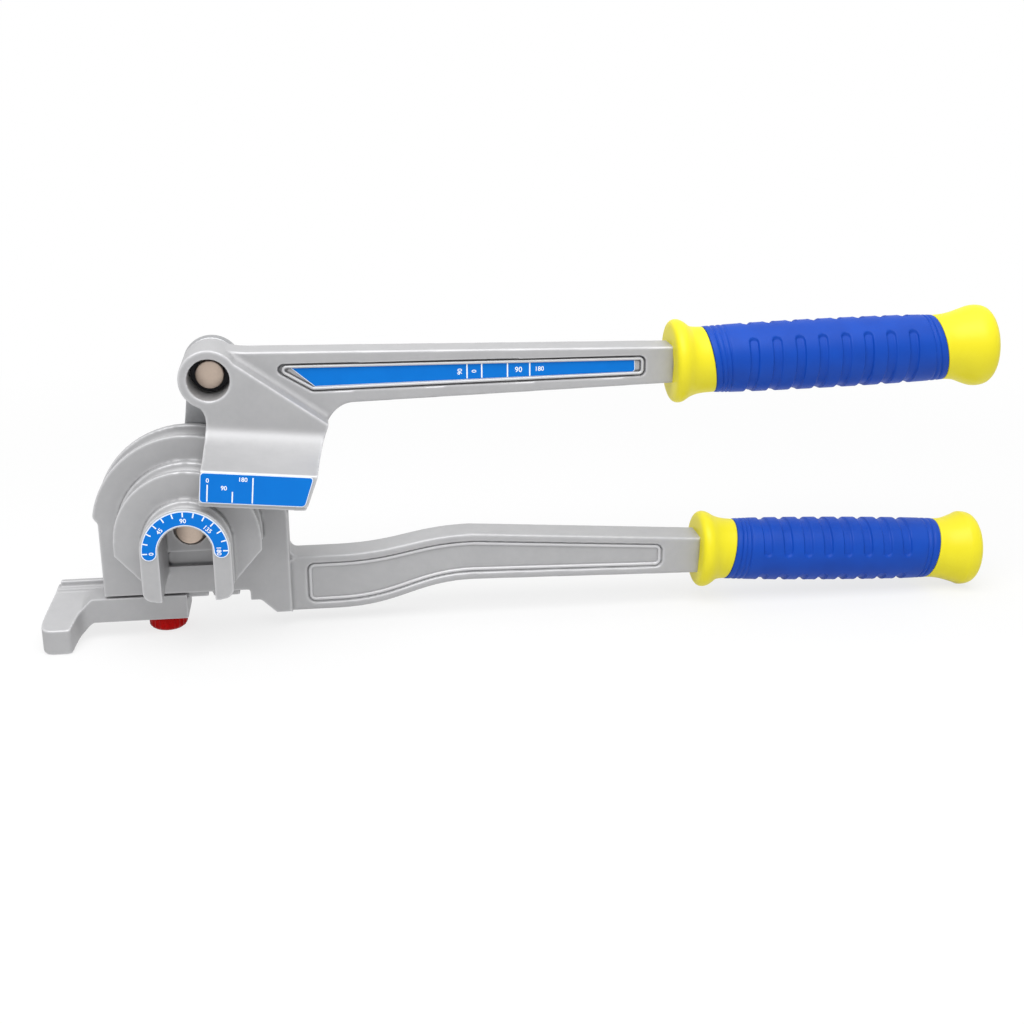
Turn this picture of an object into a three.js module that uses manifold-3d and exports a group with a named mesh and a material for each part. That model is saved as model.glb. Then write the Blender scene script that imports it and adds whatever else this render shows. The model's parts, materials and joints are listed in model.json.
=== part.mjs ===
import * as THREE from 'three';
import { mergeVertices } from 'three/addons/utils/BufferGeometryUtils.js';
import Module from 'manifold-3d';

// A lever tube bender for three tube sizes, drawn in millimetres.
// X runs along the handles, Y from the front to the back and Z upwards.
// While it is drawn, X = Z = 0 is the axis of the former and Y = 0 its front face.
// At the end the whole tool is moved so that its origin is the middle of its base.

const wasm = await Module();
wasm.setup();

// Gaps and cuts
const gap = 0.3;
const overrun = 1;

// Former: three stages on one axis, the smallest in front
const smallTube = 6.35;
const mediumTube = 9.53;
const largeTube = 12.7;
const smallRim = 17.9;
const mediumRim = 29.2;
const largeRim = 39.5;
const smallDepth = 12;
const mediumDepth = 16.5;
const largeDepth = 20;
const grooveSlack = 0.15;
const runSlack = 0.05;
const mediumFront = smallDepth;
const largeFront = mediumFront + mediumDepth;
const headBack = largeFront + largeDepth;

// Former: legs, slot and block under the stages
const slotRadius = 10.3;
const legDrop = 20.9;
const legCorner = 5.2;
const mediumSide = 4.9;
const mediumDrop = 19.8;
const mediumFoot = 16.2;
const headDrop = 28.5;
const headLeft = 37;
const sideNotch = 6.2;
const blockDrop = 39.2;
const blockFoot = 33;
const blockStepFoot = 26.5;
const blockStepDrop = 33;
const blockStart = 22.5;
const recessTop = 10;
const recessDrop = 6.4;
const recessDepth = 3;

// Locating rib under the former
const ribInset = 3;
const ribFront = largeFront + ribInset;
const ribWidth = 4;
const ribHeight = 3;
const ribEnd = 18;
const ribNotch = 2;
const ribNotchStart = 5;
const ribNotchHeight = 2.2;

// Pins, bushes and rings
const pinRadius = 5.75;
const pinHeadRadius = 8.4;
const pinHead = 1.8;
const pinRun = 0.08;
const ringRadius = 7.8;
const ringThick = 1.2;
const ringDepth = 0.7;
const ringLand = 1.4;
const washerThick = 0.5;
const bushWall = 1.4;
const centrePinStand = 2.8;
const centreBoreRadius = 7;
const centreBoreDepth = 2.5;

// Link behind the head
const pinReach = 63.85;
const pinLean = 10.4;
const linkThick = 6.2;
const linkHead = 12;
const linkWaist = 8.2;
const linkShoulder = 36;
const waistStartShare = 0.25;
const waistEndShare = 0.75;

// Lever: boss, shoe and handle
const bossRadius = 12;
const bossFront = 24;
const bossWellRadius = 8.4;
const bossWellDepth = 16;
const topPinStand = 10;
const bossCheekShare = 0.75;
const bossShoulderShare = 0.87;
const shoeTilt = 5.3;
const shoeLift = 0.6;
const shoeLeft = 4;
const shoeRight = 46;
const shoeFlare = 8;
const shoeShoulder = 48.1;
const shoeFront = 1;
const labelFoot = 20.5;
const labelTop = 33.8;
const labelRound = 2;
const flareTop = 46;
const lipThick = 2.2;
const upperArmStep = 10;
const upperArmFront = bossFront + upperArmStep;
const upperArmInset = 0.5;
const upperArmBack = headBack - upperArmInset;
const upperArmTop = 71.6;
const upperArmEnd = 201.3;
const upperTipTop = 68.4;
const upperTipFoot = 52.9;
const upperRootFoot = 49.2;
const upperRootEnd = 66;
const upperArmFillet = 6;

// Lower arm, cranked and set in the block
const lowerArmInset = 4.5;
const lowerArmFront = largeFront + lowerArmInset;
const lowerArmBack = headBack - gap;
const armRootTop = 16.3;
const armRootFoot = 39.4;
const crankStart = 68;
const crankEnd = 112;
const crankTop = 9.8;
const crankFoot = 30;
const lowerArmEnd = 215.7;
const lowerTipTop = 16.4;
const lowerTipFoot = 32.2;
const tenonLength = 14;
const tenonTop = 19;
const tenonFoot = 33;
const tenonThick = 9;
const dowelRadius = 2.4;

// Pockets in both arms
const pocketDepth = 1.6;
const pocketMargin = 3.6;
const pocketCorner = 3;
const upperPocketEnd = 12.3;
const lowerPocketEnd = 15.5;
const pocketLead = 16;
const pocketRootMargin = 5.4;
const pocketSlantShare = 1.5;
const tipMarginShare = 2;

// Grips: the radii of each, and the length of its cover
const upperGrip = { lip: 17.9, neck: 14.1, barrel: 15, cover: 103, bulb: 17.6 };
const lowerGrip = { lip: 17.2, neck: 13.5, barrel: 14.2, cover: 91, bulb: 16.8 };
const lipLength = 4.5;
const neckStart = 9;
const sleeveLength = 16;
const coreRadius = 11.6;
const bulbReach = 13;
const bulbLength = 23;
const bulbRound = 4;
const tangRadius = 7;
const tangShortfall = 12;
const gripSeat = 0.6;
const upperGripTilt = 1.2;

// Tube clamp under the former
const clampDrop = 11;
const clampRight = 3.6;
const clampLeft = 42.5;
const clampBack = headBack - gap;
const clampArmLeft = 58.5;
const clampArmFront = 14;
const clampArmSplay = 3;
const clampArmTip = 11;
const clampRootInset = 7.5;
const clampArmRoot = headBack - clampRootInset;
const clampFillet = 4;
const railInset = 4.9;
const railFront = headBack - railInset;
const railWidth = 3;
const railHeight = 3;
const railRight = 6;
const benchDrop = 47;
const clampTravel = 14;
const knobX = 13.2;
const knobDepthShare = 0.575;
const knobY = largeFront + largeDepth * knobDepthShare;
const knobRadius = 8;
const knobFlutes = 20;
const knobFlute = 0.5;
const knobFloor = 2;
const studRadius = 2.6;
const studReach = 13;
const clampWasher = 0.8;
const clampWasherRadius = 6.2;

// Scale plates
const plateThick = 0.5;
const plateInset = 0.7;
const scaleInset = 0.9;
const indexCorner = 2;

// Facets
const rimSides = 40;
const roundSides = 28;
const tubeSides = 12;
const gripSides = 24;

// Materials
const castAluminium = finish(0xa6a7a7, 0.42, 0.75);
const machinedSteel = finish(0xb8aa99, 0.35, 0.8);
const darkSteel = finish(0x6f7173, 0.45, 0.85);
const bronze = finish(0x8d7350, 0.45, 0.8);
const yellowPlastic = finish(0xe6ec45, 0.45, 0);
const blueRubber = finish(0x1c43c2, 0.6, 0);
const scaleBlue = finish(0x0b6fe0, 0.4, 0);
const redPlastic = finish(0xa50f0f, 0.4, 0);

function finish(color, roughness, metalness) {
  return new THREE.MeshStandardMaterial({ color, roughness, metalness });
}

// A closed three.js geometry as a solid that can be joined and cut
function solid(geometry) {
  geometry.deleteAttribute('normal');
  geometry.deleteAttribute('uv');
  const merged = mergeVertices(geometry);
  const vertProperties = merged.attributes.position.array;
  const triVerts = Uint32Array.from(merged.index.array);
  return new wasm.Manifold(new wasm.Mesh({ numProp: 3, vertProperties, triVerts }));
}

function join(first, ...others) {
  return others.reduce((whole, other) => whole.add(solid(other)), first);
}

function cut(first, ...others) {
  return others.reduce((whole, other) => whole.subtract(solid(other)), first);
}

function surface(shape) {
  const mesh = shape.getMesh();
  const geometry = new THREE.BufferGeometry();
  geometry.setAttribute('position', new THREE.BufferAttribute(mesh.vertProperties, 3));
  geometry.setIndex(new THREE.BufferAttribute(mesh.triVerts, 1));
  return geometry;
}

// An outline in X and Z, extruded from its front to its back
function plate(outline, front, back, curveSegments = tubeSides) {
  const options = { depth: back - front, bevelEnabled: false, curveSegments };
  const geometry = new THREE.ExtrudeGeometry(outline, options);
  return geometry.rotateX(Math.PI / 2).translate(0, back, 0);
}

// An outline in X and Y, extruded upwards
function slab(outline, low, high, curveSegments = tubeSides) {
  const options = { depth: high - low, bevelEnabled: false, curveSegments };
  return new THREE.ExtrudeGeometry(outline, options).translate(0, 0, low);
}

// An outline in Y and Z, extruded from left to right
function bar(outline, left, right, curveSegments = tubeSides) {
  const options = { depth: right - left, bevelEnabled: false, curveSegments };
  const geometry = new THREE.ExtrudeGeometry(outline, options);
  const across = new THREE.Vector3(0, 1, 0);
  const up = new THREE.Vector3(0, 0, 1);
  const along = new THREE.Vector3(1, 0, 0);
  geometry.applyMatrix4(new THREE.Matrix4().makeBasis(across, up, along));
  return geometry.translate(left, 0, 0);
}

function block(left, right, front, back, low, high) {
  const geometry = new THREE.BoxGeometry(right - left, back - front, high - low);
  return geometry.translate((left + right) / 2, (front + back) / 2, (low + high) / 2);
}

// A round rod along Y
function rod(radius, front, back, x = 0, z = 0, sides = roundSides) {
  const geometry = new THREE.CylinderGeometry(radius, radius, back - front, sides);
  return geometry.translate(x, (front + back) / 2, z);
}

// A round rod along Z
function post(radius, low, high, x, y, sides = roundSides) {
  const geometry = new THREE.CylinderGeometry(radius, radius, high - low, sides);
  return geometry.rotateX(Math.PI / 2).translate(x, y, (low + high) / 2);
}

// A straight-sided outline with every corner rounded
function rounded(points, radius) {
  const corners = points.map(([x, y]) => new THREE.Vector2(x, y));
  const outline = new THREE.Shape();
  corners.forEach((corner, i) => {
    const before = corners[(i + corners.length - 1) % corners.length];
    const after = corners[(i + 1) % corners.length];
    const back = before.clone().sub(corner);
    const on = after.clone().sub(corner);
    const reach = Math.min(radius, back.length() / 2, on.length() / 2);
    const start = corner.clone().addScaledVector(back.normalize(), reach);
    const end = corner.clone().addScaledVector(on.normalize(), reach);
    if (i === 0) outline.moveTo(start.x, start.y);
    else outline.lineTo(start.x, start.y);
    outline.quadraticCurveTo(corner.x, corner.y, end.x, end.y);
  });
  outline.closePath();
  return outline;
}

const radians = THREE.MathUtils.degToRad;
const pinX = pinReach * Math.sin(radians(pinLean));
const pinZ = pinReach * Math.cos(radians(pinLean));
const linkFront = headBack + gap + washerThick + gap;
const linkBack = linkFront + linkThick;
const stages = [
  { rim: smallRim, tube: smallTube, middle: smallDepth / 2, drop: legDrop },
  { rim: mediumRim, tube: mediumTube, middle: mediumFront + mediumDepth / 2, drop: mediumDrop },
  { rim: largeRim, tube: largeTube, middle: largeFront + largeDepth / 2, drop: headDrop },
];

// The half ring and the straight run that a tube needs in one stage of the former
function tubeGroove({ rim, tube, middle, drop }, leftOnly) {
  const radius = tube / 2 + grooveSlack;
  const section = [];
  for (let i = 0; i <= tubeSides; i += 1) {
    const turn = (2 * Math.PI * i) / tubeSides;
    section.push(new THREE.Vector2(rim + radius * Math.cos(turn), middle + radius * Math.sin(turn)));
  }
  const reach = rim + radius + overrun;
  const upper = block(-reach, reach, middle - reach, middle + reach, 0, reach);
  let groove = solid(new THREE.LatheGeometry(section, rimSides)).intersect(solid(upper));
  for (const side of leftOnly ? [-1] : [-1, 1]) {
    groove = join(groove, post(radius + runSlack, -drop - overrun, 0, side * rim, middle, tubeSides));
  }
  return groove;
}

function smallStage() {
  const outline = new THREE.Shape();
  outline.absarc(0, 0, smallRim, Math.PI, 0, true);
  outline.lineTo(smallRim, legCorner - legDrop);
  outline.quadraticCurveTo(smallRim, -legDrop, smallRim - legCorner, -legDrop);
  outline.lineTo(legCorner - smallRim, -legDrop);
  outline.quadraticCurveTo(-smallRim, -legDrop, -smallRim, legCorner - legDrop);
  return plate(outline, 0, mediumFront + overrun, rimSides / 2);
}

function mediumStage() {
  const outline = new THREE.Shape();
  outline.absarc(0, 0, mediumRim, Math.PI, 0, true);
  outline.lineTo(mediumRim, -mediumSide);
  outline.lineTo(mediumFoot, -mediumDrop);
  outline.lineTo(-mediumFoot, -mediumDrop);
  outline.lineTo(-mediumRim, -mediumSide);
  return plate(outline, mediumFront, largeFront + overrun, rimSides / 2);
}

function largeStage() {
  const outline = new THREE.Shape();
  const notchAngle = Math.PI - Math.asin(sideNotch / largeRim);
  outline.absarc(0, 0, largeRim, notchAngle, 0, true);
  outline.lineTo(largeRim, -blockDrop);
  outline.lineTo(blockFoot, -blockDrop);
  outline.lineTo(blockStepFoot, -blockStepDrop);
  outline.lineTo(blockStart, -blockStepDrop);
  outline.lineTo(blockStart, -headDrop);
  outline.lineTo(-headLeft, -headDrop);
  outline.lineTo(-headLeft, sideNotch - (largeRim - headLeft));
  return plate(outline, largeFront, headBack, rimSides / 2);
}

// The rib that keeps the clamp square, with the notches that show to its right
function locatingRib() {
  const low = -headDrop - ribHeight;
  const ribBack = ribFront + ribWidth;
  let rib = solid(block(gap - headLeft, ribEnd, ribFront, ribBack, low, overrun - headDrop));
  const notchFront = ribFront - overrun;
  const notchBack = ribBack + overrun;
  const notchHigh = low + ribNotchHeight;
  const notchEnd = ribNotchStart + ribNotch;
  rib = cut(rib, block(ribNotchStart, notchEnd, notchFront, notchBack, low - overrun, notchHigh));
  return rib;
}

function slotOutline(radius) {
  const outline = new THREE.Shape();
  outline.absarc(0, 0, radius, Math.PI, 0, true);
  outline.lineTo(radius, -legDrop - overrun);
  outline.lineTo(-radius, -legDrop - overrun);
  return outline;
}

function formerBody() {
  let body = join(solid(largeStage()), mediumStage(), smallStage());
  body = body.add(locatingRib());
  stages.forEach((stage, i) => {
    body = body.subtract(tubeGroove(stage, i === stages.length - 1));
  });
  body = cut(body, plate(slotOutline(slotRadius), -overrun, largeFront, roundSides / 2));
  const recessBack = largeFront + recessDepth;
  const recessLow = -recessTop - recessDrop;
  body = cut(body, block(-slotRadius, slotRadius, largeFront - overrun, recessBack, recessLow, -recessTop));
  body = cut(body, rod(centreBoreRadius, largeFront - overrun, largeFront + centreBoreDepth));
  body = cut(body, rod(pinRadius + pinRun, largeFront, headBack + overrun));
  const railLow = -headDrop - overrun;
  const railHigh = railHeight + gap - headDrop;
  const railLeft = -headLeft - overrun;
  const railStop = clampTravel + gap - clampRight;
  const railBack = railFront + railWidth + gap;
  body = cut(body, block(railLeft, railStop, railFront - gap, railBack, railLow, railHigh));
  const studTop = studReach + gap - headDrop;
  body = cut(body, post(studRadius + gap, -headDrop - overrun, studTop, -knobX, knobY, tubeSides));
  const socketBack = tenonMiddle() + tenonThick / 2 + gap;
  const socketFront = tenonMiddle() - tenonThick / 2 - gap;
  const socketLeft = largeRim - tenonLength - gap;
  const socketLow = -tenonFoot - gap;
  body = cut(body, block(socketLeft, largeRim + overrun, socketFront, socketBack, socketLow, gap - tenonTop));
  return cut(body, ...dowelHoles(socketBack - overrun, headBack + overrun));
}

function tenonMiddle() {
  return (lowerArmFront + lowerArmBack) / 2;
}

function dowelX() {
  return largeRim - tenonLength / 2;
}

function dowelHeights() {
  const middle = (tenonTop + tenonFoot) / 2;
  const offset = (tenonFoot - tenonTop) / 4;
  return [offset - middle, -offset - middle];
}

function dowelHoles(front, back) {
  const radius = dowelRadius + gap / 2;
  return dowelHeights().map((z) => rod(radius, front, back, dowelX(), z, tubeSides));
}

function dowel(z) {
  return rod(dowelRadius, tenonMiddle(), headBack, dowelX(), z, tubeSides);
}

// The cranked arm's outline, drawn in from its edge by a margin
function lowerArmOutline(left, right, margin) {
  const outline = new THREE.Shape();
  const ease = (crankEnd - crankStart) / 2;
  const length = lowerArmEnd - crankEnd;
  const share = (right - crankEnd) / length;
  const tipTop = crankTop + (lowerTipTop - crankTop) * share;
  const tipFoot = crankFoot + (lowerTipFoot - crankFoot) * share;
  const rootHigh = -armRootTop - margin;
  const rootLow = margin - armRootFoot;
  const crankHigh = -crankTop - margin;
  const crankLow = margin - crankFoot;
  const rootEase = crankStart + ease;
  const crankEase = crankEnd - ease;
  outline.moveTo(left, rootHigh);
  outline.lineTo(crankStart, rootHigh);
  outline.bezierCurveTo(rootEase, rootHigh, crankEase, crankHigh, crankEnd, crankHigh);
  outline.lineTo(right, -tipTop - margin);
  outline.lineTo(right, margin - tipFoot);
  outline.lineTo(crankEnd, crankLow);
  outline.bezierCurveTo(crankEase, crankLow, rootEase, rootLow, crankStart, rootLow);
  outline.lineTo(left, rootLow);
  return outline;
}

function lowerArm(gripFrame) {
  const left = largeRim + gap;
  let arm = solid(plate(lowerArmOutline(left, lowerArmEnd, 0), lowerArmFront, lowerArmBack));
  const pocket = lowerArmOutline(left + pocketMargin, lowerArmEnd - lowerPocketEnd, pocketMargin);
  arm = cut(arm, plate(pocket, lowerArmFront - overrun, lowerArmFront + pocketDepth));
  arm = cut(arm, plate(pocket, lowerArmBack - pocketDepth, lowerArmBack + overrun));
  const front = tenonMiddle() - tenonThick / 2;
  const back = front + tenonThick;
  arm = join(arm, block(largeRim - tenonLength, left + overrun, front, back, -tenonFoot, -tenonTop));
  arm = cut(arm, ...dowelHoles(tenonMiddle() - gap, headBack));
  return join(arm, tang(lowerGrip).applyMatrix4(gripFrame));
}

function gripLength(grip) {
  return sleeveLength + grip.cover + bulbLength;
}

// The round end of an arm, inside the grip's sleeve
function tang(grip) {
  const length = gripLength(grip) - tangShortfall - gap;
  const geometry = new THREE.CylinderGeometry(tangRadius, tangRadius, length + overrun, tubeSides);
  return geometry.rotateZ(-Math.PI / 2).translate((length - overrun) / 2, 0, 0);
}

// A grip turned about X: the plastic sleeve with its lip, core and end bulb
function gripSleeve(grip) {
  const { lip, neck, bulb } = grip;
  const length = gripLength(grip);
  const bore = tangRadius + gap;
  const coverEnd = sleeveLength + grip.cover;
  const profile = [
    [0, length - tangShortfall],
    [bore, length - tangShortfall],
    [bore, 0],
    [lip - lipLength / 2, 0],
    [lip, lipLength / 2],
    [lip, lipLength],
    [(lip + neck) / 2, (lipLength + neckStart) / 2],
    [neck, neckStart],
    [grip.barrel - gap, sleeveLength],
    [coreRadius, sleeveLength],
    [coreRadius, coverEnd],
    [neck, coverEnd],
    [neck, length - bulbReach - (bulbLength - bulbReach) / 2],
    [bulb, length - bulbReach / 2 - bulbRound / 2],
    [bulb, length - bulbRound],
    [bulb - bulbRound, length - gap],
    [0, length],
  ];
  return turned(profile);
}

// The soft blue cover round the sleeve's core
function gripCover({ barrel, cover }) {
  const inner = coreRadius + gap;
  const start = sleeveLength + gap;
  const end = sleeveLength + cover - gap;
  const corner = (barrel - coreRadius) / 4;
  const profile = [
    [inner, start],
    [barrel - corner, start],
    [barrel, start + corner],
    [barrel, end - corner],
    [barrel - corner, end],
    [inner, end],
    [inner, start],
  ];
  return turned(profile);
}

function turned(profile) {
  const points = profile.map(([radius, along]) => new THREE.Vector2(radius, along));
  return new THREE.LatheGeometry(points, gripSides).rotateZ(-Math.PI / 2);
}

// Where a grip starts and how far it tilts up along X
function gripPlace(x, z, tilt) {
  const middle = (upperArmFront + upperArmBack) / 2;
  const frame = new THREE.Matrix4().makeRotationY(-radians(tilt));
  return frame.setPosition(x, middle, z);
}

// The lower grip leans until its bulb rests on the bench
function lowerGripTilt() {
  const start = (lowerTipTop + lowerTipFoot) / 2;
  const reach = gripLength(lowerGrip) - bulbRound;
  return -THREE.MathUtils.radToDeg(Math.asin((benchDrop - lowerGrip.bulb - start) / reach));
}

function linkPlate() {
  const outline = new THREE.Shape();
  const lean = radians(linkShoulder);
  const side = linkHead * Math.cos(lean);
  const rise = linkHead * Math.sin(lean);
  const waistStart = pinReach * waistStartShare;
  const waistEnd = pinReach * waistEndShare;
  outline.absarc(0, 0, linkHead, Math.PI - lean, lean, false);
  outline.quadraticCurveTo(linkWaist, waistStart, linkWaist, pinReach / 2);
  outline.quadraticCurveTo(linkWaist, waistEnd, side, pinReach - rise);
  outline.absarc(0, pinReach, linkHead, -lean, Math.PI + lean, false);
  outline.quadraticCurveTo(-linkWaist, waistEnd, -linkWaist, pinReach / 2);
  outline.quadraticCurveTo(-linkWaist, waistStart, -side, rise);
  const shape = solid(plate(outline, linkFront, linkBack, roundSides / 2));
  const topHole = rod(pinRadius + gap / 2, linkFront - overrun, linkBack + overrun, 0, pinReach);
  const lowHole = rod(pinRadius + bushWall + gap / 2, linkFront - overrun, linkBack + overrun);
  return surface(cut(shape, topHole, lowHole)).rotateY(radians(pinLean));
}

// A ring or tube round Y
function collar(inner, outer, front, back, x = 0, z = 0) {
  const shape = solid(rod(outer, front, back, x, z));
  return cut(shape, rod(inner, front - overrun, back + overrun, x, z));
}

// A pin along Y with a groove for its ring and, where it has one, a head at the back
function pin(front, back, grooveFront, x, z, headed) {
  let shape = solid(rod(pinRadius, front, back, x, z));
  if (headed) shape = join(shape, rod(pinHeadRadius, back - pinHead, back, x, z));
  const start = grooveFront - gap / 2;
  const end = grooveFront + ringThick + gap / 2;
  return shape.subtract(collar(pinRadius - ringDepth, pinHeadRadius, start, end, x, z));
}

function ring(front, x, z) {
  return collar(pinRadius - ringDepth + gap / 2, ringRadius, front, front + ringThick, x, z);
}

// The shoe's section across the tube: a flared front wall and one step over each stage
function shoeSection() {
  const [low, middle, high] = stages.map((stage) => stage.rim + shoeLift);
  const top = pinReach + bossRadius;
  const back = headBack + gap / 2;
  const outline = new THREE.Shape();
  outline.moveTo(back, high);
  outline.lineTo(back, top);
  outline.lineTo(bossFront, top);
  const flareMiddle = (flareTop + labelTop) / 2;
  const flareReach = (bossFront + shoeFront) / 2;
  outline.lineTo(bossFront, flareTop);
  outline.bezierCurveTo(
    bossFront, flareMiddle, flareReach, labelTop + labelRound, -shoeFront, labelTop);
  outline.lineTo(-shoeFront, labelFoot);
  outline.lineTo(lipThick - shoeFront, labelFoot);
  outline.lineTo(lipThick - shoeFront, low);
  outline.lineTo(mediumFront - gap, low);
  outline.lineTo(mediumFront - gap, middle);
  outline.lineTo(largeFront - gap, middle);
  outline.lineTo(largeFront - gap, high);
  return outline;
}

// The shoe seen from the front, before it is tilted about the former's axis
function shoeFace() {
  const tilt = radians(shoeTilt);
  const bossX = pinX * Math.cos(tilt) - pinZ * Math.sin(tilt);
  const bossZ = pinZ * Math.cos(tilt) + pinX * Math.sin(tilt);
  const outline = new THREE.Shape();
  outline.moveTo(shoeLeft, smallRim);
  outline.lineTo(shoeRight, smallRim);
  outline.lineTo(shoeRight + shoeFlare, shoeShoulder);
  outline.lineTo(bossX + bossRadius / 4, bossZ + bossRadius);
  outline.lineTo(bossX - bossRadius / 2, bossZ);
  outline.lineTo(bossX - bossRadius / 2, bossZ - bossRadius * bossCheekShare);
  outline.quadraticCurveTo(shoeLeft, bossZ - bossRadius, shoeLeft, flareTop);
  return outline;
}

function shoe() {
  const reach = shoeRight + shoeFlare + overrun;
  const section = solid(bar(shoeSection(), -reach, reach));
  let shape = section.intersect(solid(plate(shoeFace(), -shoeFront - overrun, headBack + overrun)));
  for (const { rim, tube, middle } of stages) {
    const radius = tube / 2 + grooveSlack;
    const channel = new THREE.CylinderGeometry(radius, radius, 2 * reach, tubeSides);
    shape = cut(shape, channel.rotateZ(Math.PI / 2).translate(0, middle, rim));
  }
  return solid(surface(shape).rotateY(radians(shoeTilt)));
}

function upperArmOutline() {
  const outline = new THREE.Shape();
  const rootX = shoeRight + shoeFlare + shoeFront;
  const rootLow = upperRootFoot - upperArmFillet;
  outline.moveTo(pinX, pinZ);
  outline.lineTo(pinX + bossRadius / 2, pinZ + bossRadius * bossShoulderShare);
  outline.lineTo(pinX + bossRadius, upperArmTop);
  outline.lineTo(upperArmEnd, upperTipTop);
  outline.lineTo(upperArmEnd, upperTipFoot);
  outline.lineTo(upperRootEnd, upperRootFoot);
  outline.quadraticCurveTo(upperRootEnd - upperArmFillet, upperRootFoot, rootX, rootLow);
  return outline;
}

// The pocket that holds the handle scale, drawn in from its edge by a margin
function handlePocket(margin) {
  const left = pinX + bossRadius + pocketLead + margin * tipMarginShare;
  const right = upperArmEnd - upperPocketEnd - margin;
  const high = upperArmTop - pocketRootMargin - margin;
  const endHigh = upperTipTop - pocketMargin - margin;
  const endLow = upperTipFoot + pocketMargin + margin;
  const low = upperRootFoot + pocketRootMargin + margin;
  const slant = (high - low) * pocketSlantShare;
  return rounded([[left, high], [left + slant, low], [right, endLow], [right, endHigh]], pocketCorner);
}

function leverCasting(gripFrame) {
  let lever = join(shoe(), rod(bossRadius, bossFront, headBack + gap / 2, pinX, pinZ));
  lever = join(lever, plate(upperArmOutline(), upperArmFront, upperArmBack));
  lever = cut(lever, plate(handlePocket(0), upperArmFront - overrun, upperArmFront + pocketDepth));
  lever = cut(lever, plate(handlePocket(0), upperArmBack - pocketDepth, upperArmBack + overrun));
  const wellBack = bossFront + bossWellDepth;
  lever = cut(lever, rod(bossWellRadius, bossFront - overrun, wellBack, pinX, pinZ));
  lever = cut(lever, rod(pinRadius + bushWall + gap / 2, wellBack - overrun, linkFront, pinX, pinZ));
  return join(lever, tang(upperGrip).applyMatrix4(gripFrame));
}

// The clamp's bar and its arm, seen from above
function clampArmOutline() {
  const outline = new THREE.Shape();
  const tipLeft = -clampArmLeft - clampArmSplay;
  const filletStart = -clampLeft - clampFillet;
  const filletEnd = -clampLeft + clampFillet;
  outline.moveTo(-clampArmLeft, clampArmRoot);
  outline.lineTo(tipLeft, clampArmFront);
  outline.lineTo(tipLeft + clampArmTip, clampArmFront);
  outline.lineTo(filletStart, largeFront - clampFillet);
  outline.quadraticCurveTo(filletStart + clampFillet / 2, largeFront, filletEnd, largeFront);
  outline.lineTo(-clampLeft, clampArmRoot);
  return outline;
}

// The arm slopes down towards the front until its foot reaches the bench
function clampArm(top) {
  const geometry = slab(clampArmOutline(), top - clampDrop, top);
  const position = geometry.attributes.position;
  const slope = (benchDrop + top - clampDrop) / (clampArmRoot - clampArmFront);
  for (let i = 0; i < position.count; i += 1) {
    position.setZ(i, position.getZ(i) - slope * (clampArmRoot - position.getY(i)));
  }
  return geometry;
}

function clampBar() {
  const top = -headDrop - gap;
  const low = top - clampDrop;
  const back = block(-clampArmLeft, -clampRight, clampArmRoot - overrun, clampBack, low, top);
  let shape = join(solid(back), block(-clampLeft, -clampRight, largeFront, clampArmRoot, low, top));
  shape = join(shape, clampArm(top));
  const railTop = railHeight - headDrop;
  const railLeft = -clampArmLeft + gap;
  const railBack = railFront + railWidth;
  shape = join(shape, block(railLeft, -knobX - railRight, railFront, railBack, top - overrun, railTop));
  const grooveLeft = -headLeft - clampTravel;
  const grooveBack = ribFront + ribWidth + gap;
  const grooveLow = top - ribHeight - gap;
  shape = cut(shape, block(grooveLeft, overrun, ribFront - gap, grooveBack, grooveLow, railTop));
  const slot = new THREE.Shape();
  const slotHalf = studRadius + gap;
  slot.absarc(-knobX, knobY, slotHalf, Math.PI / 2, -Math.PI / 2, true);
  slot.absarc(-knobX - clampTravel, knobY, slotHalf, -Math.PI / 2, -(3 * Math.PI) / 2, true);
  return cut(shape, slab(slot, low - overrun, top + overrun, tubeSides / 2));
}

// The fluted plastic knob on the clamp's screw
function knob() {
  const high = -headDrop - gap - clampDrop - gap - clampWasher - gap;
  const outline = new THREE.Shape();
  for (let i = 0; i < knobFlutes * 2; i += 1) {
    const turn = (Math.PI * i) / knobFlutes;
    const radius = knobRadius - (i % 2) * knobFlute;
    outline[i ? 'lineTo' : 'moveTo'](radius * Math.cos(turn) - knobX, radius * Math.sin(turn) + knobY);
  }
  outline.closePath();
  const bore = post(studRadius + gap, knobFloor - benchDrop, high + overrun, -knobX, knobY, tubeSides);
  return cut(solid(slab(outline, -benchDrop, high)), bore);
}

function clampStud() {
  const low = knobFloor + gap - benchDrop;
  return post(studRadius, low, studReach - headDrop, -knobX, knobY, tubeSides);
}

function knobWasher() {
  const high = -headDrop - gap - clampDrop - gap;
  const low = high - clampWasher;
  const shape = solid(post(clampWasherRadius, low, high, -knobX, knobY));
  const hole = post(studRadius + gap, low - overrun, high + overrun, -knobX, knobY, tubeSides);
  return cut(shape, hole);
}

function degreePlate() {
  const outer = smallRim - scaleInset;
  const inner = slotRadius + plateInset;
  const middle = (outer + inner) / 2;
  const end = (outer - inner) / 2;
  const outline = new THREE.Shape();
  outline.absarc(0, 0, outer, Math.PI, 0, true);
  outline.absarc(middle, 0, end, 0, -Math.PI, true);
  outline.absarc(0, 0, inner, 0, Math.PI, false);
  outline.absarc(-middle, 0, end, 0, -Math.PI, true);
  return plate(outline, -plateThick, 0, tubeSides);
}

function indexPlate() {
  const lean = (shoeFlare * (labelTop - labelFoot)) / (shoeShoulder - smallRim);
  const left = shoeLeft + plateInset;
  const foot = labelFoot + plateInset;
  const top = labelTop - plateInset;
  const right = shoeRight - plateInset;
  const outline = rounded([[left, foot], [right, foot], [right + lean, top], [left, top]], indexCorner);
  return plate(outline, -shoeFront - plateThick, -shoeFront, tubeSides / 2).rotateY(radians(shoeTilt));
}

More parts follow.
